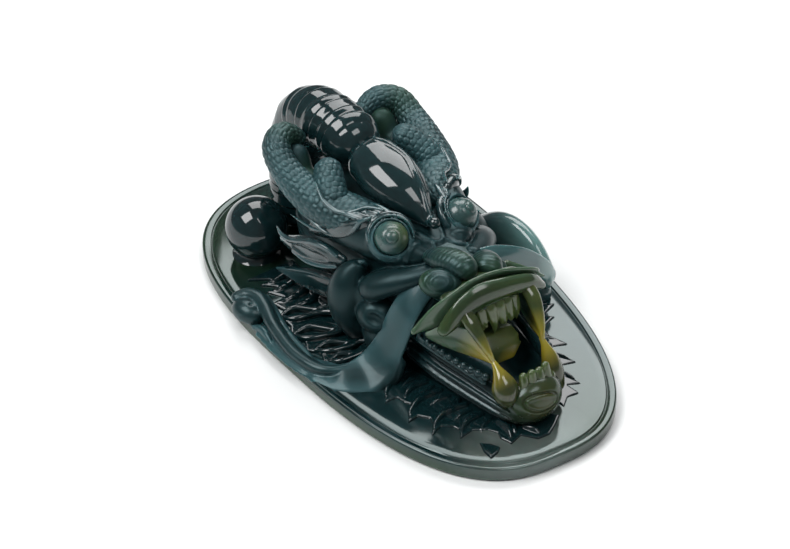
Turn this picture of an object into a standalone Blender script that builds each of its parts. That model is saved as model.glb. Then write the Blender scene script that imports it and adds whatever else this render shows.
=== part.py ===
"""Jade dragon-head plaque: an oval tablet carved in high relief, resting on its flat back.

The dragon faces -Y, +X is the viewer's right when facing it and +Z is up, away from the tablet.
The origin is the centre of the tablet's flat underside. Control points below are in millimetres
in the head's own frame, and each station of a loft is (x, y, z, half width, half height).
"""

import math

import bmesh
import bpy
from mathutils import Euler, Vector

# Driving dimensions, in millimetres
PLAQUE_LENGTH = 80.0
PLAQUE_WIDTH = 44.9
PLAQUE_THICKNESS = 2.4
PLAQUE_FULLNESS = 2.75      # exponent of the superellipse outline
PLAQUE_WIDENING = 0.12      # extra share of width at the rear end, and missing at the front
PLAQUE_EDGE_ROUND = 0.6
BORDER_INSET = 1.3          # from the rim to the incised border line
BORDER_WIDTH = 0.36
BORDER_DEPTH = 0.25
OUTLINE_POINTS = 64

HEAD_TURN = math.radians(4.4)
HEAD_SHIFT = -1.3

PEARL_RADIUS = 4.9
PEARL_CENTRE = (-10.0, 24.9, 7.45)
EYE_RADIUS = 2.55
EYE_CENTRE = (6.4, -5.0, 22.0)
NECK_RADIUS = 4.55
NECK_RINGS = 9
NECK_STEPS = 5                # stations between two points of the neck's path
RING_SWELL = 0.28
HORN_SIDES = 12
RIGHT_HORN_SPREAD = 1.2       # the right horn stands this much further out
GAP = 0.3
RELIEF_FLOOR = PLAQUE_THICKNESS + GAP
RELIEF_TOP = RELIEF_FLOOR + 1.3

# Features whose cutters cross each other, which the exact solver loses
CROSSED_BY_MANY = {"lower_jaw"}

MM = 0.001
SIDES = (("left", -1), ("right", 1))

# Colour (linear RGB) and roughness of the polished and the satin surfaces
POLISHED_TEAL = ((0.022, 0.062, 0.066), 0.12)
SATIN_TEAL = ((0.045, 0.105, 0.115), 0.42)
OLIVE = ((0.105, 0.125, 0.035), 0.2)
GOLDEN = ((0.26, 0.24, 0.05), 0.22)


# Building blocks

def clear_scene():
    for obj in list(bpy.data.objects):
        bpy.data.objects.remove(obj, do_unlink=True)


def jade(name, look):
    """A Principled material of its own for each carved feature."""
    colour, roughness = look
    material = bpy.data.materials.new(name)
    material.use_nodes = True
    shader = material.node_tree.nodes["Principled BSDF"]
    shader.inputs["Base Color"].default_value = (*colour, 1.0)
    shader.inputs["Roughness"].default_value = roughness
    shader.inputs["Metallic"].default_value = 0.0
    material.diffuse_color = (*colour, 1.0)
    return material


def add_object(name, mesh, look, parent):
    """Turns a bmesh in millimetres into a named object in metres."""
    bmesh.ops.recalc_face_normals(mesh, faces=mesh.faces)
    bmesh.ops.scale(mesh, vec=(MM, MM, MM), verts=mesh.verts)
    data = bpy.data.meshes.new(name)
    mesh.to_mesh(data)
    mesh.free()
    data.shade_smooth()
    data.set_sharp_from_angle(angle=math.radians(50))
    obj = bpy.data.objects.new(name, data)
    bpy.context.scene.collection.objects.link(obj)
    obj.data.materials.append(jade(name + "_jade", look))
    obj.parent = parent
    return obj


def catmull_rom(p0, p1, p2, p3, t):
    """One coordinate of a smooth curve from p1 to p2."""
    return 0.5 * (
        2 * p1
        + (p2 - p0) * t
        + (2 * p0 - 5 * p1 + 4 * p2 - p3) * t * t
        + (3 * p1 - p0 - 3 * p2 + p3) * t * t * t
    )


def smooth_stations(stations, steps):
    """Adds steps stations between each two given ones, on a curve through all of them."""
    padded = [stations[0], *stations, stations[-1]]
    found = []
    for i in range(len(stations) - 1):
        four = padded[i:i + 4]
        for step in range(steps):
            t = step / steps
            found.append(tuple(catmull_rom(*values, t) for values in zip(*four)))
    found.append(tuple(stations[-1]))
    return found


def mirrored(stations, sign):
    return [(sign * x, *rest) for x, *rest in stations]


def both_ways(half):
    """Stations from the left tip to the right tip, from those of the right half."""
    left = [(-x, *rest) for x, *rest in reversed(half) if x > 0]
    return left + list(half)


def ring_around(mesh, station, tangent, up, sides):
    """An ellipse of vertices across the tangent, its height along up."""
    x, y, z, half_width, half_height = station
    across = tangent.cross(up).normalized()
    over = across.cross(tangent).normalized()
    ring = []
    for i in range(sides):
        angle = 2 * math.pi * i / sides
        offset = across * (half_width * math.cos(angle)) + over * (half_height * math.sin(angle))
        ring.append(mesh.verts.new(Vector((x, y, z)) + offset))
    return ring


def skin(mesh, rings):
    """Closes a chain of rings into one solid."""
    for first, second in zip(rings, rings[1:]):
        count = len(first)
        for i in range(count):
            j = (i + 1) % count
            mesh.faces.new((first[i], first[j], second[j], second[i]))
    mesh.faces.new(rings[0])
    mesh.faces.new(reversed(rings[-1]))


def loft(name, stations, look, parent, up=(0, 0, 1), sides=10, steps=2):
    """A solid of elliptical section along a smooth curve."""
    stations = smooth_stations(stations, steps)
    points = [Vector(station[:3]) for station in stations]
    mesh = bmesh.new()
    rings = []
    for i, station in enumerate(stations):
        before = points[max(i - 1, 0)]
        after = points[min(i + 1, len(points) - 1)]
        rings.append(ring_around(mesh, station, (after - before).normalized(), Vector(up), sides))
    skin(mesh, rings)
    return add_object(name, mesh, look, parent)


def ellipsoid(name, centre, radii, look, parent, tilt=(0, 0, 0), segments=12, rings=8):
    mesh = bmesh.new()
    bmesh.ops.create_uvsphere(mesh, u_segments=segments, v_segments=rings, radius=1.0)
    turn = Euler(tilt, "XYZ").to_matrix()
    for vert in mesh.verts:
        stretched = Vector(value * radius for value, radius in zip(vert.co, radii))
        vert.co = Vector(centre) + turn @ stretched
    return add_object(name, mesh, look, parent)


def relief_plate(name, outline, look, parent, bottom=RELIEF_FLOOR, top=RELIEF_TOP):
    """A low flat solid from an outline of (x, y) points."""
    mesh = bmesh.new()
    face = mesh.faces.new([mesh.verts.new((x, y, bottom)) for x, y in outline])
    grown = bmesh.ops.extrude_face_region(mesh, geom=[face])
    raised = [item for item in grown["geom"] if isinstance(item, bmesh.types.BMVert)]
    bmesh.ops.translate(mesh, vec=(0, 0, top - bottom), verts=raised)
    return add_object(name, mesh, look, parent)


# The tablet

def plaque_outline(inset):
    """The superellipse outline, this far inside the rim."""
    half_length = PLAQUE_LENGTH / 2 - inset
    half_width = PLAQUE_WIDTH / 2 - inset
    power = 2 / PLAQUE_FULLNESS
    points = []
    for i in range(OUTLINE_POINTS):
        angle = 2 * math.pi * (i + 0.5) / OUTLINE_POINTS
        along = math.copysign(abs(math.sin(angle)) ** power, math.sin(angle))
        across = math.copysign(abs(math.cos(angle)) ** power, math.cos(angle))
        widening = 1 + PLAQUE_WIDENING * along
        points.append((half_width * across * widening, half_length * along))
    return points


def base_plaque():
    """The tablet, with rounded edges and an incised border line near its rim."""
    levels = (
        (PLAQUE_EDGE_ROUND, 0.0),
        (0.3 * PLAQUE_EDGE_ROUND, 0.3 * PLAQUE_EDGE_ROUND),
        (0.0, PLAQUE_EDGE_ROUND),
        (0.0, PLAQUE_THICKNESS - PLAQUE_EDGE_ROUND),
        (0.3 * PLAQUE_EDGE_ROUND, PLAQUE_THICKNESS - 0.3 * PLAQUE_EDGE_ROUND),
        (PLAQUE_EDGE_ROUND, PLAQUE_THICKNESS),
        (BORDER_INSET, PLAQUE_THICKNESS),
        (BORDER_INSET + BORDER_WIDTH / 2, PLAQUE_THICKNESS - BORDER_DEPTH),
        (BORDER_INSET + BORDER_WIDTH, PLAQUE_THICKNESS),
    )
    mesh = bmesh.new()
    rings = []
    for inset, height in levels:
        rings.append([mesh.verts.new((x, y, height)) for x, y in plaque_outline(inset)])
    skin(mesh, rings)
    return add_object("base_plaque", mesh, POLISHED_TEAL, None)


# The head

def head_masses(head):
    """The skull and the snout, which carry the smaller features."""
    skull = loft("skull", [
        (0, -11.4, 12.4, 7.2, 6.6),
        (0, -6.0, 12.6, 8.8, 9.0),
        (0, 1.0, 12.4, 9.6, 10.4),
        (0, 9.0, 12.0, 9.4, 11.0),
        (0, 16.0, 11.4, 8.0, 10.2),
        (0, 21.4, 9.4, 5.6, 8.0),
    ], SATIN_TEAL, head, sides=16, steps=1)
    snout = loft("snout", [
        (0, -9.6, 17.2, 6.4, 3.4),
        (0, -13.5, 17.3, 6.2, 2.9),
        (0, -17.5, 17.8, 5.7, 2.3),
        (0, -20.6, 18.4, 4.8, 1.7),
    ], OLIVE, head, sides=12, steps=1)
    return [snout, skull]


def crest_and_neck(head):
    """The glossy dome on the forehead and the ringed neck that arches over behind it."""
    crest = loft("crest", [
        (0, -7.0, 22.8, 0.8, 0.9),
        (0, -5.6, 24.0, 1.4, 1.3),
        (0, -3.4, 24.2, 1.9, 1.9),
        (0, 0.0, 24.9, 3.6, 2.9),
        (0, 4.0, 25.6, 4.7, 3.4),
        (0, 8.0, 25.8, 4.6, 3.7),
        (0, 11.4, 25.8, 4.5, 4.2),
    ], POLISHED_TEAL, head, sides=14)
    path = smooth_stations([
        (0, 11.0, 25.3),
        (0, 16.5, 26.4),
        (0, 21.5, 26.0),
        (0, 25.2, 23.6),
        (0, 27.2, 19.2),
        (0, 27.8, 13.0),
        (0, 27.4, 7.0),
        (0, 26.8, 1.5),
    ], NECK_STEPS)
    rings = []
    for i, (x, y, z) in enumerate(path):
        phase = math.pi * NECK_RINGS * i / (len(path) - 1)
        radius = NECK_RADIUS - RING_SWELL + 2 * RING_SWELL * abs(math.sin(phase))
        rings.append((x, y, z, radius, radius))
    neck = loft("neck_ribs", rings, POLISHED_TEAL, head, up=(1, 0, 0), sides=14, steps=1)
    return [crest, neck]


def nose(head):
    """Two ribbed rolls across the nose and a scroll bulb at each nostril."""
    made = []
    for side, sign in SIDES:
        made.append(loft("nose_roll_" + side, mirrored([
            (1.5, -17.4, 20.6, 1.0, 1.0),
            (1.7, -15.8, 21.2, 1.6, 1.7),
            (2.2, -13.4, 21.4, 1.8, 1.7),
            (2.9, -11.0, 21.2, 1.5, 1.4),
            (3.3, -9.6, 20.8, 0.9, 0.8),
        ], sign), OLIVE, head))
        made.append(ellipsoid(
            "nostril_" + side, (sign * 5.3, -15.4, 19.1), (2.3, 2.9, 2.1), OLIVE, head,
            tilt=(0, sign * 0.4, sign * 0.3)))
    return made


def lips_and_teeth(head):
    """The flared upper lip with a flap behind each end, the teeth, the fangs and their webs."""
    lip = loft("upper_lip", both_ways([
        (0.0, -19.7, 21.9, 2.1, 0.85),
        (2.6, -19.9, 21.6, 2.2, 0.85),
        (5.0, -20.0, 20.2, 2.1, 0.8),
        (7.4, -20.2, 18.0, 1.5, 0.7),
        (8.8, -20.4, 16.7, 0.7, 0.45),
    ]), OLIVE, head)
    upper_row = []
    for i in range(13):
        share = i / 6 - 1
        reach = 1.75 if i % 2 else 1.3
        upper_row.append((4.0 * share, -22.9 + 1.0 * share * share, 17.6 - reach / 2, 0.75, reach))
    teeth = loft("upper_teeth", upper_row, OLIVE, head, sides=8, steps=1)
    lower_row = []
    for i in range(11):
        share = i / 5 - 1
        reach = 1.5 if i % 2 else 1.05
        lower_row.append((3.0 * share, -31.4 + 0.9 * share * share, 8.7 + reach / 2, 0.7, reach))
    incisors = loft("lower_teeth", lower_row, OLIVE, head, sides=8, steps=1)
    made = [teeth, incisors, lip]
    for side, sign in SIDES:
        made.append(loft("upper_fang_" + side, mirrored([
            (5.7, -21.4, 18.2, 1.45, 1.3),
            (5.5, -23.4, 16.3, 1.3, 1.1),
            (5.0, -25.5, 14.2, 0.95, 0.85),
            (4.5, -26.9, 12.6, 0.45, 0.45),
        ], sign), OLIVE, head, sides=10))
        made.append(loft("lower_fang_" + side, mirrored([
            (5.6, -29.7, 7.6, 1.5, 1.4),
            (5.2, -29.0, 9.4, 1.15, 1.05),
            (4.7, -28.0, 11.1, 0.65, 0.65),
            (4.45, -27.4, 11.9, 0.4, 0.4),
        ], sign), GOLDEN, head, sides=10))
        made.append(loft("lip_flap_" + side, mirrored([
            (6.6, -16.6, 18.2, 1.4, 0.9),
            (8.8, -17.0, 16.9, 1.7, 0.8),
            (10.6, -17.4, 15.8, 1.2, 0.65),
            (11.8, -17.6, 15.0, 0.5, 0.4),
        ], sign), OLIVE, head, sides=10))
        made.append(loft("mouth_web_" + side, mirrored([
            (5.0, -26.2, 12.4, 0.45, 1.2),
            (5.8, -22.6, 13.0, 0.5, 2.1),
            (6.7, -17.8, 13.2, 0.55, 2.3),
            (7.3, -13.0, 12.6, 0.55, 1.8),
        ], sign), GOLDEN, head, sides=8))
    return made


def jaw(head):
    """The trough of the lower jaw with its bead teeth, the chin scroll and the tongue."""
    tongue = loft("tongue", [
        (0, -10.6, 8.4, 3.2, 1.5),
        (0, -17.0, 9.6, 3.6, 1.7),
        (0, -22.5, 12.2, 3.2, 1.6),
        (0, -26.2, 14.0, 1.9, 1.0),
        (0, -28.5, 14.8, 0.4, 0.3),
    ], GOLDEN, head)
    made = [tongue]
    for side, sign in SIDES:
        beads = []
        for i in range(21):
            share = i / 20
            swell = 0.85 if i % 2 else 0.55
            beads.append((
                8.3 - 2.5 * share * share, -14.2 - 13.0 * share, 10.7 - 0.5 * share, swell, swell))
        beads = mirrored(beads, sign)
        made.append(loft("bead_teeth_" + side, beads, SATIN_TEAL, head, sides=8, steps=1))
    made.append(ellipsoid(
        "chin_scroll", (0, -33.0, 6.4), (4.3, 2.2, 2.7), GOLDEN, head, tilt=(-0.5, 0, 0)))
    hollow = loft("jaw_hollow", [
        (0, -9.0, 11.4, 6.9, 4.8),
        (0, -16.0, 11.2, 6.9, 5.0),
        (0, -22.0, 10.9, 6.1, 5.3),
        (0, -27.4, 10.7, 5.2, 5.2),
        (0, -30.5, 10.5, 3.9, 4.6),
    ], OLIVE, head, sides=12, steps=1)
    trough = loft("lower_jaw", [
        (0, -10.6, 6.2, 8.5, 4.2),
        (0, -16.0, 6.0, 8.5, 4.7),
        (0, -22.0, 5.9, 7.6, 4.8),
        (0, -28.0, 5.8, 6.3, 4.6),
        (0, -32.0, 6.0, 5.0, 3.9),
        (0, -34.2, 6.6, 3.2, 2.5),
    ], SATIN_TEAL, head, sides=14)
    hide_helper(hollow)
    subtract(trough, hollow)
    made.append(trough)
    return made


def eyes_and_cheeks(head):
    """Eyes under their brows, three cheek lobes a side, the leaf ears and the cheek fins."""
    made = []
    for side, sign in SIDES:
        x, y, z = EYE_CENTRE
        made.append(ellipsoid("eye_" + side, (sign * x, y, z), (EYE_RADIUS,) * 3, OLIVE, head))
        made.append(loft("brow_" + side, mirrored([
            (3.2, -8.2, 22.6, 0.7, 0.8),
            (4.0, -6.0, 24.6, 0.9, 0.9),
            (5.8, -3.2, 25.2, 1.1, 1.0),
            (8.4, -1.6, 23.9, 1.1, 1.0),
            (9.9, 0.8, 21.4, 0.9, 0.9),
            (11.2, 4.6, 20.4, 0.7, 0.7),
            (12.2, 8.6, 20.8, 0.4, 0.4),
        ], sign), SATIN_TEAL, head, sides=10))
        made.append(ellipsoid(
            "cheek_lobe_" + side, (sign * 9.9, 0.2, 12.0), (3.1, 3.7, 3.8), SATIN_TEAL, head))
        made.append(ellipsoid(
            "cheek_roll_" + side, (sign * 8.0, -6.6, 15.8), (2.5, 4.6, 2.1), SATIN_TEAL, head,
            tilt=(0.25, sign * 0.5, sign * 0.2)))
        made.append(ellipsoid(
            "jowl_" + side, (sign * 9.3, -5.4, 10.2), (2.6, 3.0, 3.0), SATIN_TEAL, head))
        made.append(loft("ear_" + side, mirrored([
            (9.6, 2.2, 16.6, 0.9, 1.3),
            (11.2, 4.8, 15.6, 1.2, 2.6),
            (12.2, 8.6, 14.6, 1.2, 2.6),
            (12.5, 12.2, 13.4, 0.9, 1.6),
            (12.4, 15.0, 12.4, 0.3, 0.4),
        ], sign), SATIN_TEAL, head, sides=12))
        made.append(loft("cheek_fin_" + side, mirrored([
            (9.4, 4.0, 8.6, 1.2, 2.6),
            (10.8, 8.8, 7.4, 1.2, 2.2),
            (11.3, 13.6, 5.8, 0.9, 1.4),
            (11.3, 18.0, 4.3, 0.3, 0.4),
        ], sign), POLISHED_TEAL, head, sides=10))
    return made


def horns(head):
    """A scaly horn each side: an outer branch that curls in to the neck and a short inner one."""
    made = []
    for side, sign in SIDES:
        spread = RIGHT_HORN_SPREAD if side == "right" else 0.0
        made.append(loft("horn_branch_" + side, mirrored([
            (8.6, 5.0, 23.0, 1.7, 1.6),
            (7.0, 7.6, 25.2, 1.8, 1.7),
            (5.9, 9.8, 27.0, 1.4, 1.4),
            (5.2, 11.6, 28.2, 0.7, 0.7),
        ], sign), SATIN_TEAL, head, sides=HORN_SIDES))
        made.append(loft("horn_" + side, mirrored([
            (5.0, -1.4, 22.4, 1.6, 1.3),
            (6.6, 1.4, 22.0, 3.2, 2.2),
            (8.6 + spread, 5.4, 21.8, 3.4, 2.8),
            (10.4 + spread, 10.4, 22.8, 2.6, 2.5),
            (11.2 + spread, 15.0, 25.0, 2.1, 2.1),
            (10.6 + spread, 18.0, 26.8, 2.0, 2.0),
            (8.6 + spread / 2, 19.4, 27.4, 1.7, 1.7),
            (6.8, 19.2, 26.6, 1.1, 1.1),
        ], sign), SATIN_TEAL, head, sides=HORN_SIDES))
    return made


def whiskers(head):
    """A ribbon each side that sweeps from the nose down to the tablet and back along its rim."""
    left = [
        (-5.4, -12.2, 17.6, 0.9, 0.6),
        (-7.8, -12.0, 15.4, 1.4, 0.6),
        (-9.4, -11.6, 11.6, 1.9, 0.6),
        (-11.0, -11.0, 7.6, 2.3, 0.7),
        (-13.6, -9.4, 4.6, 2.5, 1.0),
        (-17.2, -4.6, 3.3, 1.9, 1.2),
        (-18.6, 1.0, 3.4, 1.6, 1.4),
        (-18.6, 7.0, 3.8, 1.6, 1.5),
        (-17.9, 12.0, 4.2, 1.7, 1.6),
        (-17.8, 15.4, 4.2, 1.5, 1.5),
    ]
    right = [
        (5.4, -12.2, 17.6, 0.9, 0.6),
        (8.8, -12.6, 16.2, 1.3, 0.6),
        (12.6, -12.4, 13.0, 1.5, 0.7),
        (16.6, -11.6, 9.4, 1.7, 0.8),
        (19.4, -9.0, 7.4, 1.8, 1.2),
        (20.2, -4.6, 7.2, 1.9, 2.4),
        (19.8, 0.4, 7.0, 2.2, 3.0),
        (18.8, 5.4, 5.6, 2.2, 2.6),
        (17.6, 10.4, 4.2, 1.8, 1.8),
        (16.4, 14.0, 3.6, 1.0, 1.0),
    ]
    return [
        loft("whisker_left", left, POLISHED_TEAL, head, up=(0.5, -0.4, 0.8)),
        loft("whisker_right", right, POLISHED_TEAL, head, up=(-0.3, -0.2, 0.9)),
    ]


def mane(head):
    """Low flame locks on the tablet beside the head and a jagged beard under the chin."""
    left = relief_plate("mane_left", [
        (-8.0, -8.0), (-12.2, -5.6), (-15.4, -2.4), (-16.0, 3.0), (-15.8, 8.6), (-15.0, 14.0),
        (-13.4, 19.0), (-10.6, 17.0), (-8.6, 19.4), (-7.6, 10.0),
    ], POLISHED_TEAL, head)
    right = relief_plate("mane_right", [
        (7.6, -8.0), (12.4, -8.6), (10.8, -11.6), (13.0, -13.4), (10.4, -15.6), (12.6, -18.6),
        (9.6, -20.2), (11.6, -23.6), (8.6, -24.6), (10.4, -28.2), (7.4, -28.0), (8.2, -31.4),
        (5.6, -29.6), (6.6, -20.0),
    ], POLISHED_TEAL, head)
    beard = relief_plate("beard", [
        (-7.8, -12.0), (-12.2, -16.8), (-10.8, -18.8), (-12.6, -22.6), (-10.2, -23.6),
        (-11.6, -28.2), (-8.8, -27.6), (-9.0, -31.6), (-6.4, -30.4), (-5.6, -34.8), (-3.4, -33.0),
        (-1.6, -37.4), (0.6, -34.2), (3.0, -36.0), (4.4, -32.4), (2.0, -28.0), (-5.0, -26.0),
        (-7.2, -18.0),
    ], POLISHED_TEAL, head)
    return [left, right, beard]


# Fitting the features together

def hide_helper(obj):
    obj.hide_render = True
    obj.display_type = "WIRE"


def subtract(obj, cutter):
    cut = obj.modifiers.new("clear_" + cutter.name, "BOOLEAN")
    cut.operation = "DIFFERENCE"
    cut.solver = "MANIFOLD" if obj.name in CROSSED_BY_MANY else "EXACT"
    cut.object = cutter


def grown_copy(obj):
    """A hidden copy of a feature, larger all round by the gap that its neighbours keep."""
    grown = obj.copy()
    grown.name = obj.name + "_clearance"
    grown.data = obj.data.copy()
    grown.modifiers.clear()
    swell = grown.modifiers.new("gap", "DISPLACE")
    swell.strength = GAP * MM
    swell.mid_level = 0.0
    bpy.context.scene.collection.objects.link(grown)
    hide_helper(grown)
    return grown


def world_box(obj):
    corners = [obj.matrix_world @ Vector(corner) for corner in obj.bound_box]
    low = [min(corner[axis] for corner in corners) for axis in range(3)]
    high = [max(corner[axis] for corner in corners) for axis in range(3)]
    return low, high


def boxes_meet(first, second):
    (low_a, high_a), (low_b, high_b) = first, second
    return all(low_a[k] <= high_b[k] and low_b[k] <= high_a[k] for k in range(3))


def floor_cutter():
    """Everything below the relief's lowest level, where the tablet is."""
    mesh = bmesh.new()
    bmesh.ops.create_cube(mesh, size=2 * PLAQUE_LENGTH)
    bmesh.ops.translate(mesh, vec=(0, 0, RELIEF_FLOOR - PLAQUE_LENGTH), verts=mesh.verts)
    cutter = add_object("floor_clearance", mesh, SATIN_TEAL, None)
    hide_helper(cutter)
    return cutter


def enclosed_volume(faces):
    """The signed volume that a closed set of faces holds."""
    total = 0.0
    for face in faces:
        first = face.verts[0].co
        for one, two in zip(face.verts[1:], face.verts[2:]):
            total += first.dot(one.co.cross(two.co)) / 6
    return total


def largest_island(mesh):
    """The faces of the connected shell that holds the most."""
    left = set(mesh.faces)
    best = []
    while left:
        island = []
        front = [left.pop()]
        while front:
            face = front.pop()
            island.append(face)
            for edge in face.edges:
                for other in edge.link_faces:
                    if other in left:
                        left.remove(other)
                        front.append(other)
        if enclosed_volume(island) > enclosed_volume(best):
            best = island
    return set(best)


def settle(obj):
    """Fixes the cuts into the mesh and drops the crumbs that they leave."""
    graph = bpy.context.evaluated_depsgraph_get()
    data = bpy.data.meshes.new_from_object(obj.evaluated_get(graph))
    obj.modifiers.clear()
    mesh = bmesh.new()
    mesh.from_mesh(data)
    keep = largest_island(mesh)
    bmesh.ops.delete(mesh, geom=[face for face in mesh.faces if face not in keep], context="FACES")
    mesh.to_mesh(data)
    mesh.free()
    obj.data = data


def fit_together(features):
    """Cuts each feature clear of the tablet and of every feature before it in the list."""
    bpy.context.view_layer.update()
    floor = floor_cutter()
    boxes = [world_box(obj) for obj in features]
    cutters = [grown_copy(obj) for obj in features]
    for i, obj in enumerate(features):
        for j in range(i):
            if boxes_meet(boxes[i], boxes[j]):
                subtract(obj, cutters[j])
        if boxes[i][0][2] < RELIEF_FLOOR * MM:
            subtract(obj, floor)
    bpy.context.view_layer.update()
    for obj in features:
        settle(obj)


def main():
    clear_scene()
    head = bpy.data.objects.new("head_frame", None)
    bpy.context.scene.collection.objects.link(head)
    head.location = (HEAD_SHIFT * MM, 0, 0)
    head.rotation_euler = (0, 0, HEAD_TURN)
    base_plaque()
    pearl = ellipsoid(
        "pearl", PEARL_CENTRE, (PEARL_RADIUS,) * 3, POLISHED_TEAL, head, segments=20, rings=12)
    features = [pearl, *crest_and_neck(head), *horns(head), *whiskers(head)]
    features += nose(head)
    features += lips_and_teeth(head)
    features += eyes_and_cheeks(head)
    features += jaw(head)
    features += head_masses(head)
    features += mane(head)
    fit_together(features)


main()
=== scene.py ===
"""Looks of the jade dragon-head plaque: an oval tablet with a dragon's head carved in high relief.

Lengths are in millimetres and become metres in put_in_scene, except in the camera, the lights and
the accents of colour, which are in metres. The dragon faces -Y. The head is turned a little on the
tablet, so its features are laid out in the head's frame: x across from the nose line, negative on
the left as seen from the front; y from nose to neck; z up.
"""

import math

import bmesh
import bpy
import numpy as np
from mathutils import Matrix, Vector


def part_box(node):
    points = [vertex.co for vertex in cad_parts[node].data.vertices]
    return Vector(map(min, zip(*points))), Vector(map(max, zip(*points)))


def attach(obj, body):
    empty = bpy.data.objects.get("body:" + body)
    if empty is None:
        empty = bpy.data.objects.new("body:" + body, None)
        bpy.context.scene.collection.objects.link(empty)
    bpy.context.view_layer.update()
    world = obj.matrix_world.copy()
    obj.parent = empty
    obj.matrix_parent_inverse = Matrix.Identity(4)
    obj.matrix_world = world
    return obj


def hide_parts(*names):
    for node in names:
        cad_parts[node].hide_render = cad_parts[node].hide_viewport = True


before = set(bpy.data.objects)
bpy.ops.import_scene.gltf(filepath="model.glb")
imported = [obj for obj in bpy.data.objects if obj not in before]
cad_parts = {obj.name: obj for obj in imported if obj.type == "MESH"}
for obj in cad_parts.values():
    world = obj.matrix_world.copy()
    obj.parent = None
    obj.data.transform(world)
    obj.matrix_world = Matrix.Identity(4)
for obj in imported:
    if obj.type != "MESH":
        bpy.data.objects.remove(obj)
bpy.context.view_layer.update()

import openvdb
from mathutils import Euler, Quaternion, Vector

MM = 0.001
BODY = "root"
HEAD_TURN = math.radians(4.4)
HEAD_SHIFT = -1.3                    # across the tablet
TABLET_LOW, TABLET_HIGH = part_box("base_plaque")
TABLET_TOP = TABLET_HIGH.z / MM
TABLET_LENGTH = (TABLET_HIGH.y - TABLET_LOW.y) / MM
TABLET_WIDTH = 44.9                  # half way along it
TABLET_FULLNESS = 2.75               # power of the superellipse: 2 is an ellipse
TABLET_WIDENING = 0.12               # how much the outline widens towards the neck
FOOT = 2.0                           # pieces that stand on the tablet end here, inside it
COARSE = 1.0
SIDES = (("left", -1), ("right", 1))    # as seen from the front, with the sign of x


# Camera, light and floor

CAMERA_AZIMUTH = math.radians(-32.19)
CAMERA_ELEVATION = math.radians(38.19)
CAMERA_DISTANCE = 0.500
CAMERA_TARGET = Vector((0.0, 0.005, 0.0053))
CAMERA_LENS = 149.56
NEAR_CLIP = 0.01
LIGHT_CENTRE = Vector((0, 0, 0.01))
SOFTBOXES = (      # name, azimuth, elevation, distance, size, power, roll
    ("back_box", 40, 50, 1.0, (0.9, 0.6), 8, 22),
    ("left_box", -75, 55, 0.9, (0.5, 0.5), 6, 0),
    ("front_box", 170, 62, 1.0, (0.5, 0.35), 2.4, 0),
)
SURROUND_COLOUR = (0.93, 0.95, 0.96, 1)
SURROUND_STRENGTH = 0.17
PAPER_COLOUR = (0.86, 0.87, 0.87, 1)
PAPER_ROUGHNESS = 0.9
FLOOR_SIZE = 6


def add_camera():
    data = bpy.data.cameras.new("camera")
    data.lens = CAMERA_LENS
    data.clip_start = NEAR_CLIP
    camera = bpy.data.objects.new("camera", data)
    bpy.context.scene.collection.objects.link(camera)
    ahead = Vector((
        -math.sin(CAMERA_AZIMUTH) * math.cos(CAMERA_ELEVATION),
        math.cos(CAMERA_AZIMUTH) * math.cos(CAMERA_ELEVATION),
        -math.sin(CAMERA_ELEVATION),
    ))
    camera.location = CAMERA_TARGET - ahead * CAMERA_DISTANCE
    camera.rotation_euler = ahead.to_track_quat("-Z", "Y").to_euler()
    bpy.context.scene.camera = camera


def add_softbox(name, azimuth, elevation, distance, size, power, roll):
    """A rectangular soft light in the direction azimuth, elevation, facing the carving."""
    data = bpy.data.lights.new(name, "AREA")
    data.shape = "RECTANGLE"
    data.size, data.size_y = size
    data.energy = power
    light = bpy.data.objects.new(name, data)
    bpy.context.scene.collection.objects.link(light)
    across = math.radians(azimuth)
    up = math.radians(elevation)
    away = Vector((math.sin(across) * math.cos(up), math.cos(across) * math.cos(up), math.sin(up)))
    light.location = LIGHT_CENTRE + away * distance
    facing = (-away).to_track_quat("-Z", "Y")
    light.rotation_euler = (facing @ Quaternion((0, 0, 1), math.radians(roll))).to_euler()


def add_studio():
    """A pale floor, a pale surround and soft boxes behind, beside and before the carving."""
    scene = bpy.context.scene
    scene.view_settings.view_transform = "Standard"
    world = bpy.data.worlds.new("surround")
    world.use_nodes = True
    background = world.node_tree.nodes["Background"]
    background.inputs["Color"].default_value = SURROUND_COLOUR
    background.inputs["Strength"].default_value = SURROUND_STRENGTH
    scene.world = world
    bpy.ops.mesh.primitive_plane_add(size=FLOOR_SIZE)
    floor = bpy.context.object
    floor.name = "studio_floor"
    paper = bpy.data.materials.new("pale_paper")
    paper.use_nodes = True
    shader = paper.node_tree.nodes["Principled BSDF"]
    shader.inputs["Base Color"].default_value = PAPER_COLOUR
    shader.inputs["Roughness"].default_value = PAPER_ROUGHNESS
    floor.data.materials.append(paper)
    for softbox in SOFTBOXES:
        add_softbox(*softbox)


# Curves and meshes

FINE_STEP = 0.3      # spacing that a curve is measured at
LEAST_END = 0.0004   # least squared share of a tube's section that is left at its ends


def smooth(stations, spacing):
    """Rows this far apart on a smooth curve through the given ones; the first three are x, y, z."""
    points = np.array(stations, float)
    padded = np.vstack([2 * points[0] - points[1], points, 2 * points[-1] - points[-2]])
    rows = []
    for p0, p1, p2, p3 in zip(padded, padded[1:], padded[2:], padded[3:]):
        count = max(1, math.ceil(np.linalg.norm((p2 - p1)[:3]) / spacing))
        t = (np.arange(count) / count)[:, None]
        rows.append(0.5 * (
            2 * p1 + (p2 - p0) * t
            + (2 * p0 - 5 * p1 + 4 * p2 - p3) * t ** 2
            + (3 * p1 - p0 - 3 * p2 + p3) * t ** 3
        ))
    rows.append(points[-1:])
    return np.vstack(rows)


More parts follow.
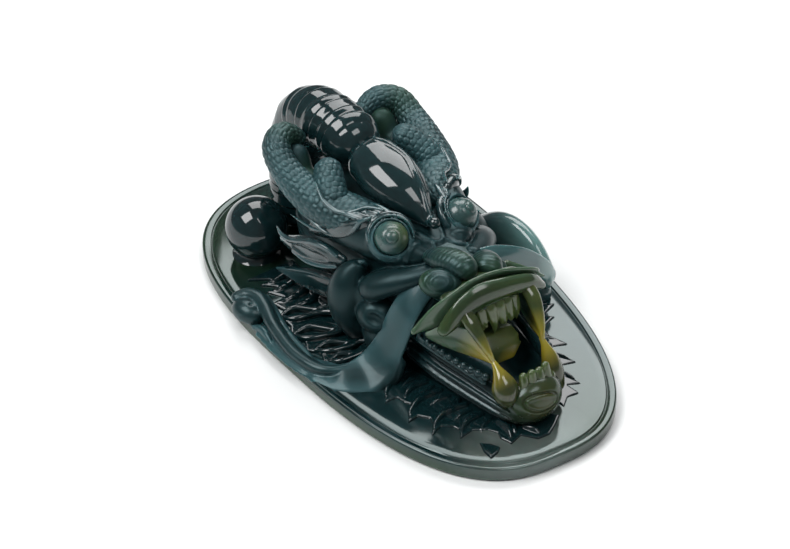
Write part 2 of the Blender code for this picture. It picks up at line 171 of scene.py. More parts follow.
def evenly(stations, count):
    """This many points at equal steps along a smooth curve."""
    rows = smooth(stations, FINE_STEP)
    length = np.concatenate([[0], np.cumsum(np.linalg.norm(np.diff(rows[:, :3], axis=0), axis=1))])
    at = np.linspace(0, length[-1], count)
    return np.stack([np.interp(at, length, column) for column in rows.T], axis=1)


def thick(path, width, height):
    """Stations of one half width and half height along a path."""
    return [(*row, width, height) for row in path]


def mirror(stations, sign):
    return [(sign * row[0], *row[1:]) for row in stations]


def circle(count):
    """Angles of this many equal steps round a circle."""
    return 2 * np.pi * np.arange(count) / count


def unit(vectors):
    return vectors / np.maximum(np.linalg.norm(vectors, axis=-1, keepdims=True), 1e-9)


def frames_along(points, up):
    """Tangent, across and over directions at each point of a curve; up is one direction or a row each."""
    tangent = unit(np.gradient(points, axis=0))
    across = unit(np.cross(tangent, np.broadcast_to(np.array(up, float), tangent.shape)))
    return tangent, across, np.cross(across, tangent)


def turning(offset, first, last, share):
    """The part of offset along a direction that turns from first to last."""
    found = 0.0
    for part, one, two in zip(offset, first, last):
        found = found + part * (one + share * (two - one))
    return found


def from_head(points):
    """Points of the head's frame in the tablet's frame."""
    x, y, z = points.T
    c, s = math.cos(HEAD_TURN), math.sin(HEAD_TURN)
    return np.stack([c * x - s * y + HEAD_SHIFT, s * x + c * y, z], axis=1)


def put_in_scene(name, points, faces, look, *nodes, in_head=True, thin=None):
    """Makes a piece from points in millimetres, in place of the CAD nodes."""
    material, slot = look
    if in_head:
        points = from_head(np.asarray(points, float))
    mesh = bpy.data.meshes.new(name)
    mesh.from_pydata((np.asarray(points) * MM).tolist(), [], faces)
    mesh.validate()
    mesh.shade_smooth()
    mesh.materials.append(material)
    if thin is not None:
        mesh.attributes.new("thin", "FLOAT", "POINT").data.foreach_set("value", thin.astype(np.float32))
    piece = bpy.data.objects.new(name, mesh)
    bpy.context.scene.collection.objects.link(piece)
    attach(piece, BODY)
    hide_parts(*nodes)


def tube_faces(rings, sides):
    """Quads between rings of points, with a fan to a pole point at either end."""
    ring = np.arange(rings - 1)[:, None] * sides
    side = np.arange(sides)[None, :]
    after = (side + 1) % sides
    quads = np.stack([ring + side, ring + after, ring + sides + after, ring + sides + side], axis=-1)
    faces = quads.reshape(-1, 4).tolist()
    first, last = rings * sides, rings * sides + 1
    top = (rings - 1) * sides
    for i in range(sides):
        j = (i + 1) % sides
        faces.append((first, j, i))
        faces.append((last, top + i, top + j))
    return faces


def tube_points(stations, up, sides, spacing, relief=None):
    """A tube of elliptical section with rounded ends. relief(along, angle) stands proud, in mm."""
    rows = smooth(stations, spacing)
    centres = rows[:, :3]
    tangent, across, over = frames_along(centres, up)
    width, height = rows[:, 3].copy(), rows[:, 4].copy()
    length = np.concatenate([[0], np.cumsum(np.linalg.norm(np.diff(centres, axis=0), axis=1))])
    angle = circle(sides)
    round_over = np.clip(np.minimum(length / width[0], (length[-1] - length) / width[-1]), 0, 1)
    shrink = np.sqrt(np.clip(1 - (1 - round_over) ** 2, LEAST_END, 1))
    proud = np.zeros((len(rows), sides)) if relief is None else relief(length[:, None], angle[None, :])
    proud = proud * shrink[:, None]
    cos, sin = np.cos(angle)[None, :], np.sin(angle)[None, :]
    x = (width * shrink)[:, None] * cos + proud * cos
    y = (height * shrink)[:, None] * sin + proud * sin
    points = centres[:, None] + x[..., None] * across[:, None] + y[..., None] * over[:, None]
    points = np.vstack([points.reshape(-1, 3), centres[0], centres[-1]])
    return points, tube_faces(len(rows), sides)


# Clay: signed distances on a grid, added to and carved with strokes, then skinned

FAR = 9.0            # distance that clay holds where nothing is near
NARROWEST = 0.05     # least half width of a stroke
FINEST_LINE = 0.08   # least half width of a line on the surface
LINE_STEP = 0.5      # spacing of a line's rows
WIDEST_STEP = 0.6    # most between the rows of a stroke
SETTLE_STEP = 1.5    # most that a point moves to the surface in one pass
SETTLE_PASSES = 6
THIN_DEPTH = 0.9     # thinness is measured this far under the surface
THICK, THIN = -0.85, -0.15    # distance there, as a share of that depth, in thick and thin stone
STEP_IN, STEP_OUT = 0.5, -0.52    # smoothing, as shares of the way to the neighbours' mean
RIBBON_ROWS = 60
TINY = 1e-6


class Clay:
    """A box of clay that strokes and balls are added to and carved from."""

    def __init__(self, low, high, voxel):
        self.low = np.array(low, float)
        self.voxel = voxel * COARSE
        counts = np.ceil((np.array(high) - self.low) / self.voxel).astype(int) + 1
        self.axes = [self.low[k] + self.voxel * np.arange(counts[k]) for k in range(3)]
        self.field = np.full(counts, FAR, np.float32)

    def window(self, low, high):
        """The slices of the grid that hold this box."""
        first = np.floor((np.array(low) - self.low) / self.voxel).astype(int)
        last = np.ceil((np.array(high) - self.low) / self.voxel).astype(int) + 1
        first = np.clip(first, 0, self.field.shape)
        last = np.clip(last, 0, self.field.shape)
        return tuple(slice(a, b) for a, b in zip(first, last))

    def swept(self, rows, up, reach):
        """Distances to a body of elliptical section swept through rows, in the window that holds it."""
        radii = np.maximum(rows[:, 3:5], NARROWEST)
        ends = radii.mean(1)
        spread = radii.max(1)[:, None] + reach
        low, high = (rows[:, :3] - spread).min(0), (rows[:, :3] + spread).max(0)
        box = self.window(low, high)
        distance = np.full([s.stop - s.start for s in box], FAR, np.float32)
        if not distance.size:
            return box, distance
        _, across, over = frames_along(rows[:, :3], up)
        for i in range(len(rows) - 1):
            pair = slice(i, i + 2)
            near = self.window((rows[pair, :3] - spread[pair]).min(0), (rows[pair, :3] + spread[pair]).max(0))
            if any(s.stop <= s.start for s in near):
                continue
            x, y, z = (self.axes[k][near[k]] - rows[i, k] for k in range(3))
            step = rows[i + 1, :3] - rows[i, :3]
            length = max(float(np.linalg.norm(step)), TINY)
            axis = step / length
            x, y, z = x[:, None, None], y[None, :, None], z[None, None, :]
            along = x * axis[0] + y * axis[1] + z * axis[2]
            share = np.clip(along / length, 0, 1)
            past = along - share * length
            half_width = radii[i, 0] + share * (radii[i + 1, 0] - radii[i, 0])
            half_height = radii[i, 1] + share * (radii[i + 1, 1] - radii[i, 1])
            end = ends[i] + share * (ends[i + 1] - ends[i])
            offset = (x - share * step[0], y - share * step[1], z - share * step[2])
            aside = turning(offset, across[i], across[i + 1], share)
            above = turning(offset, over[i], over[i + 1], share)
            size = (aside / half_width) ** 2 + (above / half_height) ** 2 + (past / end) ** 2
            rate = (aside / half_width ** 2) ** 2 + (above / half_height ** 2) ** 2 + (past / end ** 2) ** 2
            small = np.minimum(half_width, half_height)
            size = np.sqrt(size + TINY)
            found = size * (size - 1) / np.sqrt(rate + TINY / small ** 2)
            inside = tuple(slice(s.start - b.start, s.stop - b.start) for s, b in zip(near, box))
            distance[inside] = np.minimum(distance[inside], found)
        return box, distance

    def blend_in(self, box, distance, blend, carve=False):
        own = self.field[box]
        if carve:
            self.field[box] = np.maximum(own, -distance) + round_corner(own, -distance, blend)
        else:
            self.field[box] = np.minimum(own, distance) - round_corner(own, distance, blend)

    def stroke(self, stations, blend=0.3, up=(0, 0, 1), carve=False):
        """A brush stroke of elliptical section: rows of x, y, z, half width, half height."""
        thinnest = max(min(min(row[3], row[4]) for row in stations), 0.3)
        rows = smooth(stations, min(max(self.voxel, 0.3 * thinnest), WIDEST_STEP))
        box, distance = self.swept(rows, up, blend + 2 * self.voxel)
        if distance.size:
            self.blend_in(box, distance, blend, carve)

    def ball(self, centre, radii, blend=0.3, turn=(0, 0, 0), carve=False):
        """An ellipsoid turned about X, Y and then Z by turn, in radians."""
        axes = np.array(Euler(turn).to_matrix()).T
        span = max(radii) + blend + 2 * self.voxel
        box = self.window(np.array(centre) - span, np.array(centre) + span)
        x, y, z = (self.axes[k][box[k]] - centre[k] for k in range(3))
        x, y, z = x[:, None, None], y[None, :, None], z[None, None, :]
        size = rate = 0.0
        for axis, radius in zip(axes, radii):
            share = (x * axis[0] + y * axis[1] + z * axis[2]) / radius
            size = size + share ** 2
            rate = rate + (share / radius) ** 2
        size = np.sqrt(size + TINY)
        distance = size * (size - 1) / np.sqrt(rate + TINY / min(radii) ** 2)
        self.blend_in(box, distance, blend, carve)

    def value(self, points):
        """Distances at points, interpolated between the grid's."""
        place = (points - self.low) / self.voxel
        place = np.clip(place, 0, np.array(self.field.shape) - 1.001)
        first = place.astype(int)
        share = place - first
        total = np.zeros(len(points))
        for corner in np.ndindex(2, 2, 2):
            weight = np.prod(np.where(corner, share, 1 - share), axis=1)
            i, j, k = (first + corner).T
            total += weight * self.field[i, j, k]
        return total

    def slope(self, points):
        step = 1.5 * self.voxel
        moves = np.eye(3) * step
        return unit(np.stack([self.value(points + m) - self.value(points - m) for m in moves], axis=1))

    def settle(self, points):
        """Moves points to the surface, and gives the outward direction there."""
        points = np.array(points, float)
        for _ in range(SETTLE_PASSES):
            outward = self.slope(points)
            points = points - np.clip(self.value(points), -SETTLE_STEP, SETTLE_STEP)[:, None] * outward
        return points, self.slope(points)

    def line(self, stations, rise=0.15, blend=0.15):
        """A raised line along the surface, or a carved one where rise is negative: x, y, z, half width."""
        rows = smooth(stations, LINE_STEP)
        points, outward = self.settle(rows[:, :3])
        width = np.maximum(rows[:, 3], FINEST_LINE)
        depth = (rise - width if rise > 0 else width + rise)[:, None] * outward
        track = np.column_stack([points + depth, width, width])
        self.stroke(track.tolist(), blend, carve=rise < 0)

    def trim_below(self, height):
        """Cuts the clay off flat at this height."""
        self.field = np.maximum(self.field, (height - self.axes[2])[None, None, :]).astype(np.float32)

    def skin(self, name, look, *nodes, passes=2):
        """Meshes the clay's surface and puts it in the scene, with how thin it is at each point, which sets
        the painted glow of thin stone.
        """
        field = np.pad(self.field, 1, constant_values=FAR)
        grid = openvdb.FloatGrid(FAR)
        grid.copyFromArray(np.ascontiguousarray(field))
        points, quads = grid.convertToQuads(0.0)
        points = (np.asarray(points, float) - 1) * self.voxel + self.low
        faces = np.asarray(quads).astype(np.int64)
        points = relaxed(points, faces, passes)
        inward = points - THIN_DEPTH * self.slope(points)
        thin = np.clip((self.value(inward) / THIN_DEPTH - THICK) / (THIN - THICK), 0, 1)
        put_in_scene(name, points, faces.tolist(), look, *nodes, thin=thin)


def box_clay(sign, near, far, voxel):
    """Clay in a box on one side of the head, with x counted outwards from the nose line."""
    low, high = sorted((sign * near[0], sign * far[0]))
    return Clay((low, *near[1:]), (high, *far[1:]), voxel)


def round_corner(first, second, blend):
    """How far two distances less than blend apart melt into each other."""
    gap = np.maximum(blend - np.abs(first - second), 0)
    return gap ** 2 / (4 * blend)


def relaxed(points, faces, passes):
    """Evens out the surface's ripples without shrinking it: a step in, then a step out."""
    ends = np.concatenate([faces[:, [0, 1]], faces[:, [1, 2]], faces[:, [2, 3]], faces[:, [3, 0]]])
    count = np.bincount(ends[:, 0], minlength=len(points)) + np.bincount(ends[:, 1], minlength=len(points))
    count = np.maximum(count, 1)[:, None]
    for step in (STEP_IN, STEP_OUT) * passes:
        total = np.zeros_like(points)
        for k in range(3):
            total[:, k] = np.bincount(ends[:, 0], points[ends[:, 1], k], len(points))
            total[:, k] += np.bincount(ends[:, 1], points[ends[:, 0], k], len(points))
        points = points + step * (total / count - points)
    return points


def ribbon(clay, edge, other, thickness, blend=0.3, bulge=0.0):
    """A lens-shaped band between two edge curves; bulge moves its middle along its outer side."""
    one = evenly(edge, RIBBON_ROWS)[:, :3]
    two = evenly(other, RIBBON_ROWS)[:, :3]
    middle = 0.5 * (one + two)
    aside = two - one
    tangent = unit(np.gradient(middle, axis=0))
    over = unit(np.cross(aside, tangent))
    middle = middle + bulge * over
    width = 0.5 * np.linalg.norm(aside, axis=1)
    rows = np.column_stack([middle, width, np.full(len(middle), thickness)])
    box, distance = clay.swept(rows, over, blend + 2 * clay.voxel)
    clay.blend_in(box, distance, blend)


# Jade

def add_node(tree, kind, **settings):
    """A shader node with its settings or its inputs of these names set."""
    node = tree.nodes.new(kind)
    for name, value in settings.items():
        if hasattr(node, name):
            setattr(node, name, value)
        else:
            node.inputs[name].default_value = value
    return node


def noise(tree, place, scale, detail):
    texture = add_node(tree, "ShaderNodeTexNoise", Scale=scale, Detail=detail)
    tree.links.new(place, texture.inputs["Vector"])
    return texture.outputs["Fac"]


def blend_colours(tree, share, first, second):
    """Mixes two colours or sockets by a share socket."""
    mix = add_node(tree, "ShaderNodeMix", data_type="RGBA")
    tree.links.new(share, mix.inputs["Factor"])
    for name, value in (("A", first), ("B", second)):
        socket = next(i for i in mix.inputs if i.name == name and i.type == "RGBA")
        if isinstance(value, tuple):
            socket.default_value = (*value, 1)
        else:
            tree.links.new(value, socket)
    return next(o for o in mix.outputs if o.type == "RGBA")


def remap(tree, value, low, high, to_low=0.0, to_high=1.0):
    node = add_node(tree, "ShaderNodeMapRange", clamp=True)
    for name, number in (("From Min", low), ("From Max", high), ("To Min", to_low), ("To Max", to_high)):
        node.inputs[name].default_value = number
    tree.links.new(value, node.inputs["Value"])
    return node.outputs["Result"]


def near_point(tree, place, centre, radius, softness):
    """1 near a point of the carving, falling to 0 at radius plus softness (metres)."""
    away = add_node(tree, "ShaderNodeVectorMath", operation="DISTANCE")
    tree.links.new(place, away.inputs[0])
    away.inputs[1].default_value = centre
    return remap(tree, away.outputs["Value"], radius, radius + softness, 1.0, 0.0)


def math_node(tree, operation, first, second):
    node = add_node(tree, "ShaderNodeMath", operation=operation, use_clamp=True)
    for k, value in enumerate((first, second)):
        if isinstance(value, (int, float)):
            node.inputs[k].default_value = value
        else:
            tree.links.new(value, node.inputs[k])
    return node.outputs["Value"]


BLACK_TEAL = (0.002, 0.009, 0.011)
DEEP_TEAL = (0.004, 0.016, 0.018)
DARK_TEAL = (0.008, 0.026, 0.029)
MID_TEAL = (0.024, 0.066, 0.074)
PALE_TEAL = (0.05, 0.12, 0.125)
EYE_TEAL = (0.036, 0.086, 0.074)
PAINTED_GLOW_TEAL = (0.13, 0.25, 0.24)
PAINTED_REFLECTION_GREY = (0.085, 0.105, 0.098)
DEEP_OLIVE = (0.012, 0.022, 0.010)
OLIVE = (0.022, 0.036, 0.012)
DARK_OLIVE = (0.024, 0.042, 0.018)
LIGHT_OLIVE = (0.070, 0.092, 0.022)
BROWN_OLIVE = (0.045, 0.050, 0.012)
LEAF_GREEN = (0.075, 0.11, 0.035)
SAGE = (0.055, 0.10, 0.06)
MOSS = (0.018, 0.046, 0.020)
DEEP_MOSS = (0.008, 0.022, 0.011)
FERN = (0.032, 0.060, 0.018)
GOLD = (0.30, 0.24, 0.02)
TEAL_SHEEN = (0.6, 0.88, 0.92)
SOFT_SHEEN = (0.82, 0.95, 0.97)
GREEN_SHEEN = (0.86, 1.0, 0.98)
WHITE = (1, 1, 1)
CLOUD_NOISE = (130.0, 4.0)         # scale and detail
CLOUD_RANGE = (0.35, 0.68)
PATCH_RANGE = (0.25, 0.55, 0.7, 1.0)    # how the clouds break up an accent
SMUDGE_NOISE = (420.0, 2.0)
SMUDGE_RANGE = (0.3, 0.7)
ROUGHNESS_SPREAD = (0.85, 1.2)      # least and most of a look's roughness, in its smudges
GRAIN_NOISE = (5200.0, 3.0)
GRAIN_HEIGHT = 0.0001
NEPHRITE_IOR = 1.62
COAT_ROUGHNESS = 0.05
SCATTER_COLOUR = (0.45, 1.0, 0.9)
SCATTER_LENGTH = 0.0012
GOLD_RADIUS = 0.0012
JUNCTIONS = ((-0.0036, -0.0274, 0.0122), (0.0052, -0.0267, 0.0122))
CHIN_WARMTH = ((0.0012, -0.0335, 0.0075), 0.0026, 0.0055, OLIVE)


def jade(name, slot, dark, light, thin_glow_colour, roughness, grain=0.0, clear=0.6, gloss=0.5, coat=0.0,
         tint=WHITE, accents=()):
    """Nephrite: mottled, a little translucent, with a painted glow that lightens it where it is thin, and
    with accents of colour.

    Each accent is a centre, a radius and a softness in metres, and the colour there. Gives the material with
    the name of a slot.
    """
    material = bpy.data.materials.new("jade_" + name + "_look")
    material.use_nodes = True
    tree = material.node_tree
    shader = tree.nodes["Principled BSDF"]
    place = add_node(tree, "ShaderNodeTexCoord").outputs["Object"]
    clouds = noise(tree, place, *CLOUD_NOISE)
    base = blend_colours(tree, remap(tree, clouds, *CLOUD_RANGE), dark, light)
    # painted glow: the colour is lightened where the stone is thin, in place of light shining through it
    thin = add_node(tree, "ShaderNodeAttribute", attribute_name="thin").outputs["Fac"]
    base = blend_colours(tree, thin, base, thin_glow_colour)
    patches = remap(tree, clouds, *PATCH_RANGE)
    for centre, radius, softness, colour in accents:
        near = near_point(tree, place, centre, radius, softness)
        base = blend_colours(tree, math_node(tree, "MULTIPLY", near, patches), base, colour)
    tree.links.new(base, shader.inputs["Base Color"])
    for socket, value in (
            ("IOR", NEPHRITE_IOR), ("Specular IOR Level", gloss), ("Specular Tint", (*tint, 1)),
            ("Coat Weight", coat), ("Coat Roughness", COAT_ROUGHNESS), ("Subsurface Weight", clear),
            ("Subsurface Radius", SCATTER_COLOUR), ("Subsurface Scale", SCATTER_LENGTH)):
        shader.inputs[socket].default_value = value
    smudge = noise(tree, place, *SMUDGE_NOISE)
    rough = remap(tree, smudge, *SMUDGE_RANGE, *(roughness * share for share in ROUGHNESS_SPREAD))
    tree.links.new(rough, shader.inputs["Roughness"])
    if grain:
        bump = add_node(tree, "ShaderNodeBump", Strength=grain, Distance=GRAIN_HEIGHT)
        tree.links.new(noise(tree, place, *GRAIN_NOISE), bump.inputs["Height"])
        tree.links.new(bump.outputs["Normal"], shader.inputs["Normal"])
    return material, "jade_" + slot


def golden(softness):
    """Accents of gold where the fangs meet."""
    return [(junction, GOLD_RADIUS, softness, GOLD) for junction in JUNCTIONS]


POLISHED = jade("polished", "polished", DEEP_TEAL, DARK_TEAL, MID_TEAL, 0.07)
DARK_POLISHED = jade("dark", "polished", BLACK_TEAL, BLACK_TEAL, DEEP_TEAL, 0.07, clear=0.3)
TABLET = jade("tablet", "polished", DEEP_TEAL, DARK_TEAL, MOSS, 0.10, tint=GREEN_SHEEN, accents=(
    ((0.006, -0.041, 0.001), 0.006, 0.016, DEEP_OLIVE),
    # painted reflection: a pale grey patch before the chin, lightening the chin's dark mirror image on the
    # tablet
    ((-0.004, -0.036, 0.004), 0.005, 0.007, PAINTED_REFLECTION_GREY),
    ((-0.016, 0.030, 0.003), 0.008, 0.012, DEEP_MOSS),
))
RIBBON = jade("ribbon", "polished", DEEP_TEAL, DARK_TEAL, MID_TEAL, 0.36, gloss=0.3, coat=0.15,
              tint=TEAL_SHEEN)
RIBBON_RIGHT = jade("pale_ribbon", "polished", DARK_TEAL, MID_TEAL, PALE_TEAL, 0.12, accents=(
    # painted glow: pale patches on the dome and at the whisker's tip, standing in for light through the stone
    ((0.0190, -0.0050, 0.0100), 0.002, 0.007, PAINTED_GLOW_TEAL),
    ((0.0180, -0.0110, 0.0095), 0.001, 0.004, PAINTED_GLOW_TEAL),
))
SATIN = jade("satin", "satin", DARK_TEAL, MID_TEAL, PALE_TEAL, 0.42, grain=0.12, tint=TEAL_SHEEN, accents=(
    ((-0.0112, 0.0186, 0.0270), 0.0008, 0.0030, MOSS),
    ((0.0100, 0.0190, 0.0262), 0.0008, 0.0040, MOSS),
))
FACE = jade("face", "satin", DEEP_TEAL, DEEP_TEAL, MID_TEAL, 0.36, grain=0.05, gloss=0.26, tint=TEAL_SHEEN)
BROW = jade("brow", "satin", DEEP_TEAL, DARK_TEAL, MID_TEAL, 0.22, gloss=0.36, coat=0.8, tint=SOFT_SHEEN)
OLIVE_SATIN = jade("olive_satin", "satin", DARK_TEAL, MOSS, MOSS, 0.45, gloss=0.24, tint=TEAL_SHEEN)
JAW_JADE = jade("jaw", "satin", BLACK_TEAL, DEEP_TEAL, DARK_TEAL, 0.22,
                gloss=0.36, tint=SOFT_SHEEN, accents=(CHIN_WARMTH,))
OLIVE_JADE = jade("olive", "olive", DARK_TEAL, MOSS, OLIVE, 0.34, gloss=0.36, tint=TEAL_SHEEN)
EYE_JADE = jade("eye", "olive", MID_TEAL, EYE_TEAL, EYE_TEAL, 0.28, gloss=0.4, coat=0.3, accents=(
    ((-0.0052, -0.0068, 0.0230), 0.0006, 0.0030, LEAF_GREEN),
))
LIP = jade("lip", "olive", DARK_OLIVE, FERN, SAGE, 0.13, gloss=0.42)
TOOTH_JADE = jade("tooth", "olive", OLIVE, LIGHT_OLIVE, LEAF_GREEN, 0.08)
FANG_JADE = jade("fang", "olive", OLIVE, LIGHT_OLIVE, LEAF_GREEN, 0.09, accents=golden(0.0038))
LOW_FANG_JADE = jade("low_fang", "golden", DARK_OLIVE, BROWN_OLIVE, LIGHT_OLIVE, 0.12,
                     accents=golden(0.0034))
WEB_JADE = jade("web", "golden", SAGE, LEAF_GREEN, SAGE, 0.14, accents=golden(0.0052))
CHIN_JADE = jade("chin", "golden", OLIVE, DARK_OLIVE, OLIVE, 0.24, gloss=0.36, tint=SOFT_SHEEN, accents=(
    ((0.0010, -0.0345, 0.0075), 0.0010, 0.0030, BROWN_OLIVE),
))
TONGUE_JADE = jade("tongue", "golden", DARK_OLIVE, FERN, FERN, 0.24, gloss=0.36, accents=(
    ((0.0006, -0.0238, 0.0122), 0.0010, 0.0050, LIGHT_OLIVE),
    ((0.0010, -0.0256, 0.0092), 0.0004, 0.0024, GOLD),
))


# The tablet and the pearl

INCISED_LINE = (      # inset from the rim and depth of the line's section
    (0.5, 0), (1.14, 0), (1.2, 0.04), (1.3, 0.26), (1.36, 0.28), (1.42, 0.26), (1.52, 0.04),
)
GLOW_FROM = 0.2       # the painted glow on the tablet's side starts this depth below its top
GLOW_DEPTH = 0.6      # and is lightest this much further down


def tablet_outline(inset, count):
    half_length = TABLET_LENGTH / 2 - inset
    half_width = TABLET_WIDTH / 2 - inset
    power = 2 / TABLET_FULLNESS
    angle = 2 * np.pi * (np.arange(count) + 0.5) / count
    along = np.sign(np.sin(angle)) * np.abs(np.sin(angle)) ** power
    across = np.sign(np.cos(angle)) * np.abs(np.cos(angle)) ** power
    return half_width * across * (1 + TABLET_WIDENING * along), half_length * along


def tablet():
    """The slab, its top a shallow dome inside an incised line that follows the rim, its side lightened
    towards the foot by a painted glow.
    """
    count, dome, foot_round, top_round = 360, 0.45, 0.6, 0.4
    levels = [(foot_round, 0.0)]
    levels += [(foot_round - foot_round * math.sin(a), foot_round - foot_round * math.cos(a))
               for a in np.linspace(0.2, math.pi / 2, 8)]
    levels += [(top_round - top_round * math.sin(a), TABLET_TOP - top_round + top_round * math.cos(a))
               for a in np.linspace(math.pi / 2, 0.1, 9)]
    levels += [(inset, TABLET_TOP - depth) for inset, depth in INCISED_LINE]
    levels += [(1.6 + 1.2 * k, TABLET_TOP + dome * (1 - (1 - k / 9) ** 1.7)) for k in range(10)]
    points = []
    for inset, height in levels:
        x, y = tablet_outline(inset, count)
        points.append(np.column_stack([x, y, np.full(count, height)]))
    points = np.vstack(points)
    faces = [list(range(count))[::-1]]
    for start in range(0, (len(levels) - 1) * count, count):
        for i in range(count):
            j = (i + 1) % count
            faces.append((start + i, start + j, start + count + j, start + count + i))
    faces.append(list(range((len(levels) - 1) * count, len(levels) * count)))
    # painted glow: the side wall grows lighter towards its foot, carried in the thin attribute
    edge_glow = np.clip((TABLET_TOP - GLOW_FROM - points[:, 2]) / GLOW_DEPTH, 0, 1)
    put_in_scene("tablet", points, faces, TABLET, "base_plaque", in_head=False, thin=edge_glow)


def pearl():
    """A polished ball that flares into the tablet at its foot."""
    x, y, height, radius = -10.0, 24.9, 7.45, 4.9
    flare, foot, buried = 0.9, 2.5, 2.3
    profile = [(radius * math.sin(a), height + radius * math.cos(a)) for a in np.linspace(0.03, 2.45, 70)]
    waist, low = profile[-1]
    for share in np.linspace(0.1, 1, 8):
        profile.append((waist + flare * (1 - math.cos(share * 1.5)), low - share * (low - foot)))
    count = 128
    angle = circle(count)
    rings = [np.column_stack([r * np.cos(angle) + x, r * np.sin(angle) + y, np.full(count, z)])
             for r, z in profile[::-1]]
    points = np.vstack([*rings, [[x, y, buried]], [[x, y, height + radius]]])
    put_in_scene("pearl_ball", points, tube_faces(len(rings), count), POLISHED, "pearl")


# Crest and neck

def crest():
    """The pear-shaped dome on the forehead, with a ridge that runs down to a small drop."""
    clay = Clay((-6.5, -9.5, 19.5), (6.5, 17.5, 31.5), 0.15)
    clay.stroke([
        (0, -5.6, 22.6, 0.9, 0.9), (0, -3.4, 23.4, 1.9, 1.9), (0, 0.0, 24.6, 3.6, 3.0),
        (0, 4.0, 25.2, 4.6, 3.7), (0, 7.4, 25.6, 4.3, 3.7),
    ], 0.3)
    clay.line([
        (2.0, 10.4, 28.6, 0.32), (0.8, 8.6, 29.3, 0.34), (1.9, 6.4, 29.0, 0.36), (2.6, 3.0, 28.2, 0.36),
        (1.7, -0.4, 27.4, 0.32), (0.7, -3.6, 25.3, 0.28), (0.2, -6.0, 23.8, 0.22),
    ], rise=0.3, blend=0.3)
    clay.ball((0, -7.0, 23.2), (0.9, 1.0, 0.9), 0.5)
    clay.skin("crest_dome", POLISHED, "crest", passes=8)


def neck():
    """The arched neck: overlapping rings, each rising slowly and dropping sharply to the next."""
    first, pitch, proud, climb = 3.4, 1.75, 0.34, 0.72

    def rings(along, angle):
        wander = 0.5 * np.cos(angle) + 0.25 * np.sin(2.1 * along)
        turn = np.maximum((along - first + wander) / pitch, 0) % 1.0
        rise = proud * np.minimum(turn / climb, (1 - turn) / (1 - climb)) ** 0.8
        return rise * (0.3 + 0.7 * np.clip(np.sin(angle) * 0.5 + 0.6, 0, 1))

    path = [
        (0, 9.5, 25.6), (0, 13.0, 26.2), (0, 16.5, 26.4), (0, 21.5, 26.0), (0, 25.2, 23.6), (0, 27.2, 19.2),
        (0, 27.8, 13.0), (0, 27.4, 7.0), (0, 26.8, 2.2),
    ]
    points, faces = tube_points(thick(path, 4.45, 4.4), (0, -0.55, 0.83), 112, 0.15, rings)
    put_in_scene("neck_rings", points, faces, POLISHED, "neck_ribs")


# Horns

def scales(columns, row, proud):
    """Polygonal scales in staggered, slightly uneven rows round a tube, parted by narrow grooves."""
    uneven, groove, doming = 0.16, 0.42, 0.35

    def relief(along, angle):
        band = np.floor(along / row)
        shape = np.broadcast(along, angle).shape
        nearest = np.full(shape, FAR)
        second = np.full(shape, FAR)
        for step in (-1, 0, 1):
            level = band + step
            column = angle / (2 * np.pi) * columns - 0.5 * (level % 2)
            for side in (-1, 0, 1, 2):
                cell = np.floor(column) + side
                jitter = np.sin(cell % columns * 12.9898 + level * 78.233) * uneven
                shift = np.cos(cell % columns * 39.425 + level * 11.13) * uneven
                apart = np.hypot(column - cell - shift, (along / row - level - 0.5 - jitter) * 1.05)
                second = np.minimum(second, np.maximum(apart, nearest))
                nearest = np.minimum(nearest, apart)
        edge = np.clip((second - nearest) / groove, 0, 1)
        return proud * (np.sqrt(edge) - doming * nearest)
    return relief


def horns():
    """A scaly horn each side that curls in to the neck, with a short thick knob in its bend."""
    for side, sign in SIDES:
        spread, drop = (1.2, 0.8) if side == "right" else (0.0, 0.0)
        horn = [
            (4.6, -2.6, 22.0, 1.3, 1.0), (6.2, 0.6, 22.0, 3.0, 2.1), (8.4 + spread, 5.4, 21.8, 3.4, 2.8),
            (10.4 + spread, 10.4, 22.8, 2.65, 2.6), (11.2 + spread, 15.0, 25.0 - drop, 2.15, 2.15),
            (10.6 + spread, 18.0, 26.8 - drop, 2.05, 2.05), (8.6 + spread / 2, 19.4, 27.4 - drop, 1.9, 1.9),
            (6.6, 19.4, 26.4 - drop, 1.5, 1.5), (5.2, 18.6, 25.0 - drop, 1.1, 1.1),
        ]
        knob = [
            (9.0 + 0.6 * spread, 4.6, 22.4, 2.2, 2.1), (8.2 + 0.6 * spread, 7.4, 23.9, 2.3, 2.2),
            (7.1 + 0.4 * spread, 9.6, 25.5, 2.1, 2.0), (6.2, 11.4, 26.9, 1.6, 1.5),
        ]
        for name, node, stations, sides, spacing, relief in (
                ("horn_scaly_", "horn_", horn, 132, 0.13, scales(15, 1.0, 0.17)),
                ("horn_knob_", "horn_branch_", knob, 108, 0.12, scales(12, 1.0, 0.16))):
            points, faces = tube_points(mirror(stations, sign), (0, 0, 1), sides, spacing, relief)
            put_in_scene(name + side, points, faces, SATIN, node + side)
        clay = box_clay(sign, (3.5, 5.0, 14.0), (12.5, 20.5, 27), 0.2)
        clay.stroke(mirror([
            (7.4, 7.6, 20.6, 2.4, 3.0), (7.8 + 0.4 * spread, 11.6, 20.8, 2.6, 3.0),
            (8.0 + 0.4 * spread, 15.0, 22.2, 2.0, 2.0), (7.7 + 0.4 * spread, 17.0, 24.6, 1.9, 1.9),
        ], sign), 0.3)
        clay.skin("horn_hollow_" + side, OLIVE_SATIN, "horn_" + side)


# Face

EYE_RADIUS = 2.6
EYE_CENTRE = {"left": np.array([-6.4, -5.0, 22.0]), "right": np.array([5.9, -5.5, 21.1])}
GAZE = {"left": (-0.36, -0.63, 0.69), "right": (0.42, -0.52, 0.74)}


def gaze_frame(side):
    """Where an eye looks, with the directions aside and above as its viewer sees them."""
    gaze = unit(np.array(GAZE[side]))
    aside = unit(np.cross(gaze, (0, 0, 1)))
    return gaze, aside, np.cross(aside, gaze)


